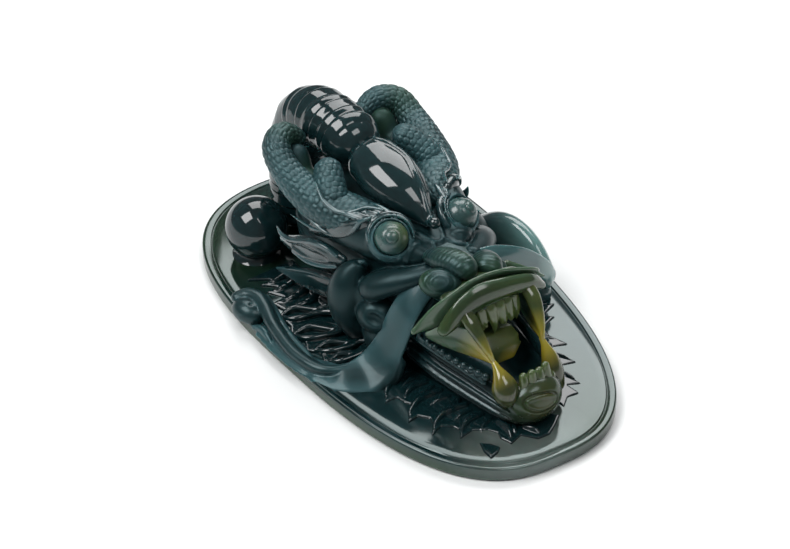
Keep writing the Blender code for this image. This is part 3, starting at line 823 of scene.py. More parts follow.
def lid_arc(side, radius, ahead, first, last, width, height, taper=0.35):
    """Stations of an arc round the eye's gaze, from the first angle to the last, in degrees."""
    gaze, aside, above = gaze_frame(side)
    rows = []
    for share in np.arange(13) / 12:
        turn = math.radians(first + share * (last - first))
        place = EYE_CENTRE[side] + ahead * gaze
        place = place + radius * (math.cos(turn) * aside + math.sin(turn) * above)
        size = taper + (1 - taper) * math.sin(math.pi * share) ** 0.5
        rows.append((*place, width * size, height * size))
    return rows


def eye_socket(clay, side, sign):
    """The bony ridge above an eye, and the hollow that holds the ball."""
    clay.stroke(mirror([
        (2.6, -9.6, 18.6, 1.5, 1.8), (5.0, -6.0, 19.4, 2.5, 2.9), (6.6, -2.2, 20.2, 2.7, 3.4),
        (8.2, 2.6, 19.8, 2.5, 2.8), (8.6, 8.0, 18.0, 2.0, 2.4),
    ], sign), 1.0)
    clay.ball(EYE_CENTRE[side] + (0, 0.4, -0.6), (3.2, 3.2, 3.0), 0.6)
    gaze, _, _ = gaze_frame(side)
    socket = EYE_CENTRE[side] + 1.5 * gaze
    clay.ball(socket, (2.75, 2.75, 2.75), 0.25, carve=True)


def cheek(clay, sign):
    """The lobe under the ear, the long roll from it to the nose, and two jowls."""
    clay.ball((sign * 9.6, -1.6, 12.4), (3.0, 3.4, 3.2), 0.4)
    clay.stroke(mirror([
        (9.4, -2.2, 17.0, 0.7, 0.6), (10.4, -1.2, 15.4, 2.0, 1.8), (11.1, -0.9, 12.6, 3.2, 2.9),
        (10.9, -1.0, 9.2, 3.3, 3.0), (9.9, -1.4, 5.6, 2.6, 2.5),
    ], sign), 0.22, up=(0, 1, 0))
    clay.stroke(mirror([
        (3.4, -12.0, 19.4, 1.3, 0.9), (5.8, -10.2, 18.1, 1.9, 1.4), (7.8, -8.0, 16.8, 2.4, 1.9),
        (9.2, -6.0, 15.4, 2.6, 2.1), (9.9, -5.0, 14.6, 2.2, 1.9),
    ], sign), 0.22)
    clay.ball((sign * 9.7, -6.0, 10.3), (3.1, 3.2, 2.9), 0.22)
    clay.ball((sign * 9.0, -6.4, 6.4), (2.9, 3.2, 3.4), 0.22)
    clay.ball((sign * 11.7, -8.3, 11.2), (1.0, 1.7, 0.9), 0.5, turn=(0.5, 0, sign * -0.5), carve=True)


def cheek_folds(clay, side, sign):
    """Soft folds below the eye, then a groove between them and the roll."""
    for radius, ahead, rise in ((3.15, 0.0, 0.2), (3.9, -0.5, 0.2)):
        arc = lid_arc(side, radius, ahead, 190, 350, 0.2, 0.2, taper=0.8)
        clay.line([row[:4] for row in arc], rise=rise)
    clay.line(mirror([
        (3.4, -9.6, 19.6, 0.26), (5.8, -9.1, 18.4, 0.3), (8.6, -5.8, 17.7, 0.3), (10.1, -1.8, 17.4, 0.3),
    ], sign), rise=-0.3)


def flank_locks(clay, sign):
    """Long locks combed back along the flank to the nape."""
    for k in range(8):
        height = 18.0 - 2.1 * k
        clay.line(mirror([
            (8.0, 5.0, height, 0.1), (9.0, 9.0, height - 0.5, 0.36), (8.6, 13.6, height - 1.6, 0.38),
            (6.8, 18.4, height - 2.0, 0.36), (3.4, 22.8, 9.6 + 0.55 * (height - 11.8), 0.1),
        ], sign), rise=-0.46, blend=0.25)


def forehead_folds(clay):
    """The fold that runs round the foot of the crest, and the two that part from it to the nose."""
    clay.line([
        (-3.0, -2.6, 22.6, 0.26), (-2.1, -5.2, 22.2, 0.3), (-1.2, -7.6, 21.4, 0.3), (0.0, -8.6, 20.9, 0.3),
        (1.2, -7.6, 21.4, 0.3), (2.0, -5.0, 22.2, 0.28), (2.8, -2.4, 22.6, 0.22),
    ], rise=0.3)
    for sign in (-1, 1):
        fold = [(1.0, -8.4, 21.0, 0.2), (1.9, -9.8, 20.2, 0.28), (3.4, -10.6, 19.4, 0.14)]
        clay.line(mirror(fold, sign), rise=0.28)


def face():
    """The skull with its eye sockets, cheeks and jowls."""
    clay = Clay((-15, -14, 2.0), (15, 26, 27), 0.235)
    clay.stroke([
        (0, -11.4, 12.4, 7.0, 6.4), (0, -6.0, 12.8, 8.0, 8.4), (0, 1.0, 12.6, 8.8, 9.8),
        (0, 9.0, 12.0, 8.8, 10.4), (0, 14.6, 11.0, 7.6, 9.4), (0, 18.0, 9.6, 5.4, 6.8),
    ], 0.3)
    for side, sign in SIDES:
        eye_socket(clay, side, sign)
        cheek(clay, sign)
        cheek_folds(clay, side, sign)
        flank_locks(clay, sign)
    forehead_folds(clay)
    clay.trim_below(FOOT)
    names = ["skull"]
    for side, _ in SIDES:
        names += ["cheek_lobe_" + side, "cheek_roll_" + side, "jowl_" + side]
    clay.skin("face_and_cheeks", FACE, *names)


def eyes():
    """Each ball has one raised disc and a domed pupil, set towards its gaze."""
    disc, disc_rise, disc_edge = 1.72, 0.07, 0.06
    moat, moat_width = 0.98, 0.12
    pupil, pupil_rise = 0.9, 0.18
    front, count = 1.2, 96
    angle = circle(count)
    profile = []
    for a in np.linspace(0.02, 2.4, 104):
        out = EYE_RADIUS * math.sin(a)
        rise = 0.0
        if a < front:
            rise += disc_rise / (1 + math.exp((out - disc) / disc_edge))
            rise -= disc_rise * math.exp(-((out - moat) / moat_width) ** 2)
            rise += pupil_rise * math.sqrt(max(0.0, 1 - (out / pupil) ** 2))
        profile.append(((EYE_RADIUS + rise) * math.sin(a), (EYE_RADIUS + rise) * math.cos(a)))
    for side, _ in SIDES:
        gaze, aside, above = gaze_frame(side)
        ring = np.cos(angle)[:, None] * aside + np.sin(angle)[:, None] * above
        rings = [EYE_CENTRE[side] + out * ring + ahead * gaze for out, ahead in profile[::-1]]
        ends = [rings[0].mean(0), EYE_CENTRE[side] + profile[0][1] * gaze]
        points = np.vstack([*rings, *[e[None] for e in ends]])
        faces = [f[::-1] for f in tube_faces(len(rings), count)]
        put_in_scene("eyeball_" + side, points, faces, EYE_JADE, "eye_" + side)


def brow_strands(clay, sign):
    """The flesh of the brow and its strands: one to the ear, one curling back over the horn."""
    clay.stroke(mirror([
        (6.8, -1.4, 23.3, 0.8, 1.1), (8.2, -0.4, 22.9, 1.1, 1.4), (9.6, 1.4, 21.4, 1.1, 1.4),
        (10.4, 4.8, 19.2, 1.0, 1.2), (10.6, 8.6, 17.4, 0.7, 1.0),
    ], sign), 0.15)
    clay.stroke(mirror([
        (8.1, -2.2, 24.9, 0.2, 0.24), (9.1, -1.2, 24.0, 0.34, 0.34), (9.8, -0.2, 22.0, 0.38, 0.36),
        (10.4, 1.8, 20.2, 0.38, 0.36), (11.3, 4.4, 19.6, 0.36, 0.34), (11.9, 6.8, 20.2, 0.26, 0.26),
        (12.1, 8.2, 21.0, 0.12, 0.12),
    ], sign), 0.1, up=(0.3 * sign, -0.2, 0.9))
    clay.stroke(mirror([
        (5.8, -2.4, 25.4, 0.18, 0.2), (7.1, 0.0, 25.0, 0.28, 0.28), (8.9, 1.4, 24.2, 0.36, 0.32),
        (10.3, 3.0, 23.9, 0.38, 0.32), (10.9, 5.3, 24.5, 0.32, 0.28), (10.7, 7.0, 25.3, 0.24, 0.22),
        (10.3, 8.4, 26.0, 0.12, 0.12),
    ], sign), 0.1)


def fine_strands(clay, sign):
    """Fine strands that run back below the long ones towards the ear."""
    for k in range(3):
        clay.stroke(mirror([
            (9.0 + 0.2 * k, -1.0 + 0.6 * k, 24.1 - 0.9 * k, 0.18, 0.2),
            (10.1 + 0.2 * k, 1.3 + 0.8 * k, 22.7 - 1.2 * k, 0.26, 0.24),
            (11.0 + 0.3 * k, 4.1 + 1.2 * k, 21.8 - 1.4 * k, 0.26, 0.24),
            (11.6 + 0.2 * k, 6.7 + 1.6 * k, 21.6 - 1.5 * k, 0.2, 0.2),
            (11.7 + 0.2 * k, 8.9 + 1.8 * k, 21.8 - 1.7 * k, 0.08, 0.08),
        ], sign), 0.08)


def brow_locks(clay, side, sign):
    """Tapering locks that lie back over the brow and the foot of the horn."""
    top = EYE_CENTRE[side][2] + 2.5
    for k in range(5):
        share = k / 4
        reach = 1.0 - 0.25 * (k % 2)
        clay.stroke(mirror([
            (4.6 + 3.9 * share, -3.6 + 2.6 * share, top - 0.5 * share, 0.2, 0.2),
            (4.9 + 4.3 * share, -2.3 + 2.8 * share, top + 0.1 - 0.6 * share, 0.46, 0.3),
            (5.3 + 4.5 * share, -0.9 + (0.4 + 3.0 * share) * reach, top + 0.2 - 0.8 * share, 0.36, 0.26),
            (5.6 + 4.7 * share, -0.2 + (1.2 + 3.4 * share) * reach, top + 0.1 - 1.0 * share, 0.06, 0.06),
        ], sign), 0.1)


def brows():
    """Lids in double arcs round the top of each eye, and the long curling strands of the brow."""
    for side, sign in SIDES:
        clay = box_clay(sign, (0.4, -10.2, 14.5), (14.5, 15.8, 28.6), 0.14)
        clay.stroke(lid_arc(side, 3.3, -0.7, 0, 180, 0.7, 1.0), 0.15)
        clay.stroke(lid_arc(side, 2.8, 0.35, -25, 195, 0.16, 0.26), 0.06)
        clay.stroke(lid_arc(side, 3.35, 0.45, -10, 190, 0.17, 0.26), 0.06)
        brow_strands(clay, sign)
        fine_strands(clay, sign)
        brow_locks(clay, side, sign)
        clay.skin("brow_strands_" + side, BROW, "brow_" + side)


def leaf_ear(side, sign):
    """A cupped leaf with a rolled upper edge."""
    clay = box_clay(sign, (8.5, -1.0, 9.5), (15.5, 17.0, 20.5), 0.15)
    clay.stroke(mirror([
        (10.4, 1.6, 15.8, 0.7, 0.8), (11.6, 4.4, 15.8, 1.1, 1.9), (12.3, 7.8, 15.0, 1.1, 2.1),
        (12.6, 11.0, 14.0, 0.8, 1.4), (12.6, 14.0, 13.2, 0.4, 0.6),
    ], sign), 0.2)
    clay.stroke(mirror([
        (12.6, 3.4, 15.7, 0.5, 0.6), (13.4, 5.6, 15.4, 0.8, 1.2), (13.5, 8.0, 14.9, 0.7, 1.1),
        (13.4, 10.0, 14.4, 0.4, 0.5),
    ], sign), 0.2, carve=True)
    clay.stroke(mirror([
        (11.4, 1.8, 16.8, 0.3, 0.3), (12.0, 4.0, 17.5, 0.36, 0.34), (12.6, 6.4, 17.2, 0.4, 0.36),
        (13.0, 8.8, 16.0, 0.4, 0.36), (13.2, 11.2, 14.9, 0.4, 0.36), (13.2, 13.4, 14.6, 0.34, 0.32),
        (12.8, 15.2, 14.8, 0.14, 0.14),
    ], sign), 0.15)
    clay.stroke(mirror([
        (11.4, 2.0, 14.6, 0.26, 0.26), (12.4, 4.4, 13.8, 0.32, 0.3), (13.0, 7.2, 13.2, 0.32, 0.3),
        (13.2, 10.4, 13.2, 0.3, 0.28),
    ], sign), 0.15)
    clay.skin("leaf_ear_" + side, BROW, "ear_" + side)


def neck_fin(side, sign):
    """A hollowed fin that comes to a point below the ear."""
    clay = box_clay(sign, (7.5, 1.0, 2.3), (14.0, 20.0, 12.5), 0.15)
    clay.stroke(mirror([
        (9.4, 3.0, 8.8, 0.9, 2.4), (10.8, 7.6, 8.0, 0.8, 2.2), (11.4, 12.4, 6.6, 0.6, 1.4),
        (11.5, 17.4, 4.8, 0.2, 0.25),
    ], sign), 0.2)
    clay.stroke(mirror([
        (10.6, 3.4, 10.6, 0.24, 0.24), (11.5, 8.0, 9.8, 0.26, 0.26), (11.9, 12.4, 7.8, 0.24, 0.24),
        (11.6, 17.4, 4.9, 0.12, 0.12),
    ], sign), 0.15)
    clay.stroke(mirror([
        (11.6, 5.0, 8.4, 0.3, 0.8), (12.2, 9.0, 7.6, 0.3, 0.7), (12.4, 13.0, 6.0, 0.25, 0.4),
    ], sign), 0.25, carve=True)
    clay.trim_below(FOOT)
    clay.skin("neck_fin_" + side, POLISHED, "cheek_fin_" + side)


def ears():
    """A leaf and a fin on either side."""
    for side, sign in SIDES:
        leaf_ear(side, sign)
        neck_fin(side, sign)


def temple_spikes():
    """Three points of hair that lie back behind the right eye, the first one upright."""
    clay = Clay((9.0, -6.8, 13.5), (14.0, 4.5, 21), 0.12)
    for track in (
        [(10.9, 3.4, 15.2, 1.0, 1.3), (11.5, 2.0, 17.0, 0.8, 1.0), (11.9, 0.9, 18.6, 0.45, 0.55),
         (12.1, 0.5, 20.0, 0.1, 0.1)],
        [(10.6, 1.0, 15.2, 1.1, 1.2), (11.2, 0.2, 16.8, 0.7, 0.9), (11.5, -0.6, 18.2, 0.1, 0.14)],
        [(10.4, -1.4, 15.0, 1.1, 1.2), (11.2, -2.0, 16.4, 0.7, 0.9), (11.6, -2.8, 17.7, 0.1, 0.14)],
    ):
        clay.stroke(track, 0.2)
    clay.skin("temple_spikes_right", FACE, "ear_right")


# Muzzle, lips and teeth

def muzzle():
    """The snout, with an egg-shaped nostril each side inside a pair of soft rings."""
    clay = Clay((-10, -22.5, 13), (9, -7, 24), 0.155)
    clay.stroke([
        (0, -9.0, 17.0, 5.6, 3.6), (0, -13.5, 17.2, 5.8, 2.9), (0, -17.5, 17.7, 5.4, 2.3),
        (0, -20.4, 18.6, 4.8, 1.7),
    ], 0.3)
    for sign, centre, radii in (
            (-1, (-5.4, -15.7, 20.0), (3.2, 2.3, 2.2)), (1, (4.6, -15.8, 18.0), (1.9, 1.7, 1.5))):
        turn = sign * 0.75
        clay.ball(centre, radii, 0.25, turn=(0, 0, turn))
        along = np.array([math.cos(turn), math.sin(turn), 0.0])
        outward = unit(np.array([0.5 * sign, -0.55, 0.7]))
        across = unit(np.cross(outward, along))
        for size, rise in ((0.66, -0.1), (0.4, 0.1)):
            ring = []
            for k in range(17):
                angle = 2 * math.pi * k / 16
                place = radii[0] * size * math.cos(angle) * along + radii[1] * size * math.sin(angle) * across
                lift = radii[1] * math.sqrt(1 - size * size)
                ring.append((*(np.array(centre) + place + lift * outward), 0.22))
            clay.line(ring, rise=rise)
    clay.skin("muzzle", OLIVE_JADE, "snout", "nostril_left", "nostril_right")


def nose_rolls():
    """Two rolls over the nose with fine ribs across them; the right one is lower and shorter."""
    tracks = {
        "left": [
            (-1.2, -18.6, 21.2, 1.0, 0.8), (-1.8, -17.2, 21.9, 1.9, 1.6), (-2.3, -15.4, 22.1, 2.1, 1.8),
            (-2.9, -13.0, 21.7, 2.0, 1.6), (-3.3, -11.0, 21.0, 1.5, 1.2), (-3.6, -9.6, 20.3, 0.8, 0.7),
        ],
        "right": [
            (1.2, -18.9, 20.0, 1.0, 0.7), (1.8, -18.1, 20.4, 1.8, 1.4), (2.3, -16.9, 20.6, 2.1, 1.7),
            (2.8, -15.5, 20.3, 1.9, 1.5), (3.2, -14.2, 19.7, 1.4, 1.1), (3.5, -13.2, 19.0, 0.7, 0.6),
        ],
    }
    pitch, proud = 0.68, 0.06

    def ribs(along, angle):
        wave = np.abs(np.sin(np.pi * (along + 0.5 * np.cos(angle)) / pitch)) ** 0.6
        return proud * wave * np.clip(np.sin(angle) + 0.7, 0, 1)

    for side, track in tracks.items():
        points, faces = tube_points(track, (0, 0, 1), 96, 0.09, ribs)
        put_in_scene("ribbed_nose_roll_" + side, points, faces, OLIVE_JADE, "nose_roll_" + side)


def lip_band():
    """The flared upper lip's thick smooth band."""
    clay = Clay((-13.5, -24.5, 13.5), (10.8, -15.4, 24.4), 0.14)
    upper = [
        (-9.0, -20.8, 17.2), (-7.3, -21.0, 19.5), (-5.6, -21.1, 20.9), (-2.9, -21.4, 22.0),
        (0.7, -21.9, 21.7), (5.1, -21.7, 20.3), (7.4, -21.3, 18.9), (8.6, -20.9, 17.6),
    ]
    lower = [
        (-8.8, -20.9, 15.8), (-6.6, -21.0, 16.3), (-4.6, -21.2, 17.2), (-2.2, -21.6, 18.0),
        (0.4, -21.7, 18.3), (4.5, -21.4, 17.6), (6.6, -21.1, 16.9), (8.4, -20.8, 16.2),
    ]
    ribbon(clay, upper, lower, 1.15, 0.4, bulge=0.25)
    clay.stroke(thick(upper, 0.26, 0.26), 0.5)
    clay.stroke([(x, y + 0.2, z, 0.42, 0.42) for x, y, z in lower], 0.5)
    clay.stroke([
        (-5.6, -18.2, 19.0, 1.6, 1.2), (0, -19.0, 19.6, 2.4, 1.4), (5.6, -18.6, 18.2, 1.6, 1.2),
    ], 0.6)
    clay.skin("flared_lip", LIP, "upper_lip", passes=4)


def lip_leaves():
    """A thin leaf above the band, that ends in a flap on either side."""
    edges = {
        "left": (
            [(-12.0, -17.9, 15.9), (-10.1, -18.2, 17.7), (-8.6, -18.7, 19.2), (-6.3, -19.7, 21.1),
             (-4.0, -20.4, 22.5), (-1.4, -20.8, 22.9)],
            [(-11.9, -18.0, 15.2), (-9.8, -18.6, 15.4), (-8.2, -19.2, 16.0), (-5.9, -19.8, 18.4),
             (-3.8, -20.0, 20.4), (-1.4, -20.0, 21.2)],
        ),
        "right": (
            [(-1.4, -20.8, 22.9), (1.6, -20.9, 22.4), (5.2, -20.8, 20.9), (7.6, -20.7, 19.8),
             (8.7, -20.5, 19.0)],
            [(-1.4, -20.0, 21.2), (1.6, -20.0, 20.8), (4.8, -19.8, 19.4), (7.2, -19.6, 18.2),
             (8.5, -19.4, 17.6)],
        ),
    }
    for side, (edge, root) in edges.items():
        low, high = sorted((edge[0][0], edge[-1][0]))
        clay = Clay((low - 1.2, -22.4, 14.2), (high + 1.2, -16.2, 24.2), 0.12)
        ribbon(clay, edge, root, 0.42, 0.2)
        clay.stroke(thick(edge, 0.2, 0.2), 0.3)
        clay.skin("lip_leaf_" + side, LIP, "lip_flap_" + side, passes=4)


def mouth_corner():
    """The right flap's root, behind the mouth's corner."""
    clay = Clay((6.0, -20.5, 13.5), (13.2, -13.5, 20), 0.14)
    ribbon(
        clay, [(6.6, -15.6, 18.6), (8.6, -17.0, 17.6), (10.4, -17.8, 16.4), (11.8, -18.0, 15.1)],
        [(6.8, -15.8, 16.6), (8.6, -17.2, 15.8), (10.2, -17.9, 15.2), (11.6, -18.1, 14.8)], 0.5)
    clay.skin("mouth_corner_right", LIP, "lip_flap_right", passes=4)


def lips():
    """The flared upper lip: a thick band, a thin leaf above it, and a corner."""
    lip_band()
    lip_leaves()
    mouth_corner()


def upper_teeth():
    """A row of long pleated teeth that hang from the lip."""
    clay = Clay((-5.5, -25.2, 12), (5.5, -18.5, 20.5), 0.12)
    clay.stroke([
        (-4.6, -20.6, 17.8, 0.7, 1.4), (0, -21.9, 18.4, 0.7, 1.5), (4.6, -20.8, 17.8, 0.7, 1.4),
    ], 0.2)
    for k, tip in enumerate((15.6, 13.7, 14.9, 14.5, 13.8)):
        across = -3.0 + 1.5 * k
        back = 0.09 * across * across
        clay.stroke([
            (across - 0.3, -21.9 + back, 19.0, 0.8, 0.55), (across, -22.7 + back, 17.8, 0.9, 0.6),
            (across + 0.2, -23.1 + back, 16.4, 0.85, 0.55), (across + 0.35, -23.3 + back, 15.2, 0.6, 0.45),
            (across + 0.4, -23.3 + back, tip, 0.16, 0.16),
        ], 0.12, up=(0, 1, 0.5))
    clay.skin("upper_tooth_row", TOOTH_JADE, "upper_teeth")


def lower_teeth():
    """Four incisors that stand on a gum."""
    clay = Clay((-4.4, -34, 6), (4.4, -29, 12.6), 0.12)
    clay.stroke([
        (-2.8, -31.0, 8.4, 1.0, 1.3), (0, -31.6, 8.5, 1.0, 1.3), (2.8, -31.0, 8.4, 1.0, 1.3),
    ], 0.3)
    for k in range(4):
        across = 1.34 * (k - 1.5)
        back = 0.07 * across * across
        clay.stroke([
            (across, -31.9 + back, 8.4, 0.78, 0.66), (across, -31.6 + back, 9.8, 0.8, 0.72),
            (across, -31.3 + back, 11.0 + 0.15 * (k % 2), 0.66, 0.55),
        ], 0.1, up=(0, 1, 0.2))
    clay.skin("lower_tooth_row", TOOTH_JADE, "lower_teeth")


def teeth():
    upper_teeth()
    lower_teeth()


LOWER_FANGS = {
    "left": [
        (-4.2, -30.2, 7.4, 1.5, 1.4), (-4.4, -30.1, 8.8, 2.1, 2.0), (-4.5, -29.5, 10.3, 1.5, 1.4),
        (-4.55, -28.4, 11.6, 0.75, 0.75), (-4.5, -27.2, 12.5, 0.38, 0.38),
    ],
    "right": [
        (5.0, -29.9, 5.6, 1.4, 1.4), (4.9, -29.5, 7.6, 1.6, 1.5), (4.75, -28.8, 9.6, 1.3, 1.2),
        (4.6, -27.9, 11.2, 0.7, 0.7), (4.5, -27.0, 12.4, 0.38, 0.38),
    ],
}


def upper_fang(side, sign):
    """A long fang with a ridge down its outer side."""
    clay = box_clay(sign, (3.2, -28.8, 10.5), (8.8, -19.5, 20.5), 0.12)
    clay.stroke(mirror([
        (5.5, -21.4, 18.6, 1.3, 0.9), (5.5, -23.4, 17.4, 1.2, 0.85), (5.2, -25.2, 15.5, 0.9, 0.75),
        (4.8, -26.6, 13.6, 0.5, 0.5), (4.5, -27.2, 12.3, 0.36, 0.36),
    ], sign), 0.2)
    clay.stroke(mirror([
        (5.9, -22.2, 19.0, 0.15, 0.15), (6.1, -24.4, 17.0, 0.15, 0.15), (5.2, -26.6, 14.0, 0.12, 0.12),
    ], sign), 0.3)
    clay.skin("long_fang_" + side, FANG_JADE, "upper_fang_" + side)


def lower_fang(side, sign):
    """A short bulbous fang that narrows to meet the upper one."""
    clay = box_clay(sign, (2.0, -33.5, 4.0), (8.0, -25.5, 13), 0.12)
    clay.stroke(LOWER_FANGS[side], 0.2)
    clay.skin("short_fang_" + side, LOW_FANG_JADE, "lower_fang_" + side)


def mouth_web(side, sign):
    """The thin web that joins the jaws behind the fangs."""
    clay = box_clay(sign, (3.4, -28.5, 8.5), (10.2, -11, 19), 0.14)
    upper = mirror([(4.5, -27.0, 12.6), (5.6, -24.0, 16.2), (6.8, -20.8, 16.2), (7.9, -16.6, 12.8)], sign)
    lower = mirror([(4.5, -27.0, 12.3), (5.6, -23.4, 11.9), (7.1, -19.0, 11.5), (7.9, -16.2, 11.6)], sign)
    ribbon(clay, upper, lower, 0.34, 0.2, bulge=0.25 * sign)
    clay.stroke(thick(lower, 0.28, 0.24), 0.35)
    clay.skin("cheek_web_" + side, WEB_JADE, "mouth_web_" + side, passes=4)


def mouth_lining(side, sign):
    """The dark wall under the web."""
    clay = box_clay(sign, (3.2, -28.5, 7.0), (9.6, -10.5, 14), 0.16)
    ribbon(
        clay,
        mirror([(4.3, -26.6, 12.4), (5.0, -23.2, 12.2), (6.4, -17.6, 11.6), (7.6, -12.6, 11.0)], sign),
        mirror([(4.6, -27.0, 8.8), (5.6, -22.6, 8.8), (6.8, -17.4, 8.8), (7.6, -12.6, 8.8)], sign),
        0.5, 0.3)
    clay.skin("mouth_lining_" + side, JAW_JADE, "mouth_web_" + side, passes=3)


def fangs():
    """Upper and lower fangs that meet in a narrow waist, with a web and a lining behind them."""
    for side, sign in SIDES:
        upper_fang(side, sign)
        lower_fang(side, sign)
        mouth_web(side, sign)
        mouth_lining(side, sign)


def jaw():
    """The lower jaw: a trough with long grooves down its sides, a gum rim and a rounded chin."""
    clay = Clay((-10.5, -36.5, 2.0), (10.5, -8.5, 12.5), 0.19)
    clay.stroke([
        (0, -10.6, 5.8, 8.3, 4.4), (0, -16.0, 5.8, 8.2, 4.6), (0, -22.0, 5.7, 7.3, 4.6),
        (0, -28.0, 5.7, 6.0, 4.4), (0, -29.9, 5.8, 5.2, 3.6),
    ], 0.3)
    clay.ball((-0.3, -31.2, 5.6), (4.6, 2.7, 3.3), 0.5)
    clay.stroke([
        (0, -9.0, 11.6, 6.6, 4.9), (0, -16.0, 11.2, 6.4, 5.0), (0, -22.0, 10.9, 5.6, 5.3),
        (0, -27.4, 10.7, 4.4, 5.0), (0, -29.4, 10.4, 3.0, 4.2),
    ], 0.4, carve=True)
    for sign in (-1, 1):
        for drop, out in ((0.2, 0.0), (1.9, 0.5), (3.6, 0.1)):
            clay.line(mirror([
                (8.6 + out, -11.6, 8.3 - drop, 0.34), (8.2 + out, -18.0, 8.1 - drop, 0.42),
                (7.0 + out, -24.0, 7.7 - drop, 0.42), (5.6 + out, -29.0, 7.0 - 0.9 * drop, 0.34),
                (4.4 + out, -31.6, 6.2 - 0.8 * drop, 0.2),
            ], sign), rise=-0.55, blend=0.25)
        gum = [(8.2, -12.6, 9.9), (7.9, -17.0, 9.9), (7.0, -22.4, 9.7), (5.9, -27.0, 9.2)]
        clay.stroke(mirror(thick(gum, 0.55, 0.5), sign), 0.4)
    clay.trim_below(FOOT)
    clay.skin("jaw_trough", JAW_JADE, "lower_jaw")


def bead_teeth():
    """A row of small beads along each gum."""
    for side, sign in SIDES:
        clay = box_clay(sign, (4.6, -28.6, 9), (9.4, -12.8, 12), 0.13)
        gum = [(8.1, -14.0, 10.2), (7.6, -18.6, 10.2), (6.6, -23.4, 9.9), (5.9, -27.0, 9.6)]
        clay.stroke(mirror(thick(gum, 0.5, 0.4), sign), 0.2)
        for k in range(10):
            share = (k / 9) ** 0.85
            place = (sign * (8.15 - 2.35 * share ** 1.8), -14.2 - 12.9 * share, 10.75 - 0.5 * share)
            size = 0.42 + 0.22 * share
            clay.ball(place, (size, size * 1.1, size * 1.1), 0.12)
        clay.skin("bead_row_" + side, JAW_JADE, "bead_teeth_" + side)


def chin():
    """The chin: a bluff boss with an oval loop cut into its face."""
    middle = (-0.2, -31.7, 6.7)
    radii = (4.4, 2.9, 3.5)
    loop_x, loop_z, loop_width, loop_height, slant = -0.8, 7.7, 2.7, 1.35, 0.12
    clay = Clay((-5.6, -36.0, 3), (5.6, -28.5, 11.5), 0.12)
    clay.ball(middle, radii, 0.3)
    for size, rise in ((1.0, -0.34), (0.86, 0.14)):
        loop = []
        for k in range(25):
            turn = 2 * math.pi * k / 24
            x = loop_x + loop_width * size * math.cos(turn)
            z = loop_z + loop_height * size * math.sin(turn) - slant * (x - loop_x)
            depth = 1 - ((x - middle[0]) / radii[0]) ** 2 - ((z - middle[2]) / radii[2]) ** 2
            loop.append((x, middle[1] - radii[1] * math.sqrt(depth), z, 0.3))
        clay.line(loop, rise=rise, blend=0.2)
    clay.skin("chin_boss", CHIN_JADE, "chin_scroll")


def tongue():
    """A wedge with a flat sloping top, a blunt front edge and softened corners."""
    corners = [
        (-3.2, -24.7, 11.6), (2.9, -25.0, 11.7), (0.9, -25.5, 9.4), (-2.2, -25.4, 9.5), (-2.8, -22.4, 13.5),
        (2.5, -22.4, 13.1), (-3.4, -12.0, 9.6), (3.4, -12.0, 9.6), (-2.4, -12.0, 7.0), (2.4, -12.0, 7.0),
    ]
    flat, softening, longest = 0.12, 0.45, 0.7
    form = bmesh.new()
    for corner in corners:
        form.verts.new(corner)
    bmesh.ops.convex_hull(form, input=form.verts)
    bmesh.ops.dissolve_limit(form, angle_limit=flat, verts=form.verts, edges=form.edges)
    bmesh.ops.bevel(
        form, geom=form.edges[:], offset=softening, offset_type="OFFSET", segments=5, profile=0.5,
        affect="EDGES")
    bmesh.ops.triangulate(form, faces=form.faces)
    for _ in range(2):
        long_edges = [edge for edge in form.edges if edge.calc_length() > longest]
        bmesh.ops.subdivide_edges(form, edges=long_edges, cuts=2)
        bmesh.ops.triangulate(form, faces=form.faces)
    bmesh.ops.recalc_face_normals(form, faces=form.faces)
    form.verts.index_update()
    points = np.array([vert.co for vert in form.verts])
    faces = [[vert.index for vert in face.verts] for face in form.faces]
    form.free()
    put_in_scene("wedge_tongue", points, faces, TONGUE_JADE, "tongue")


# Whiskers

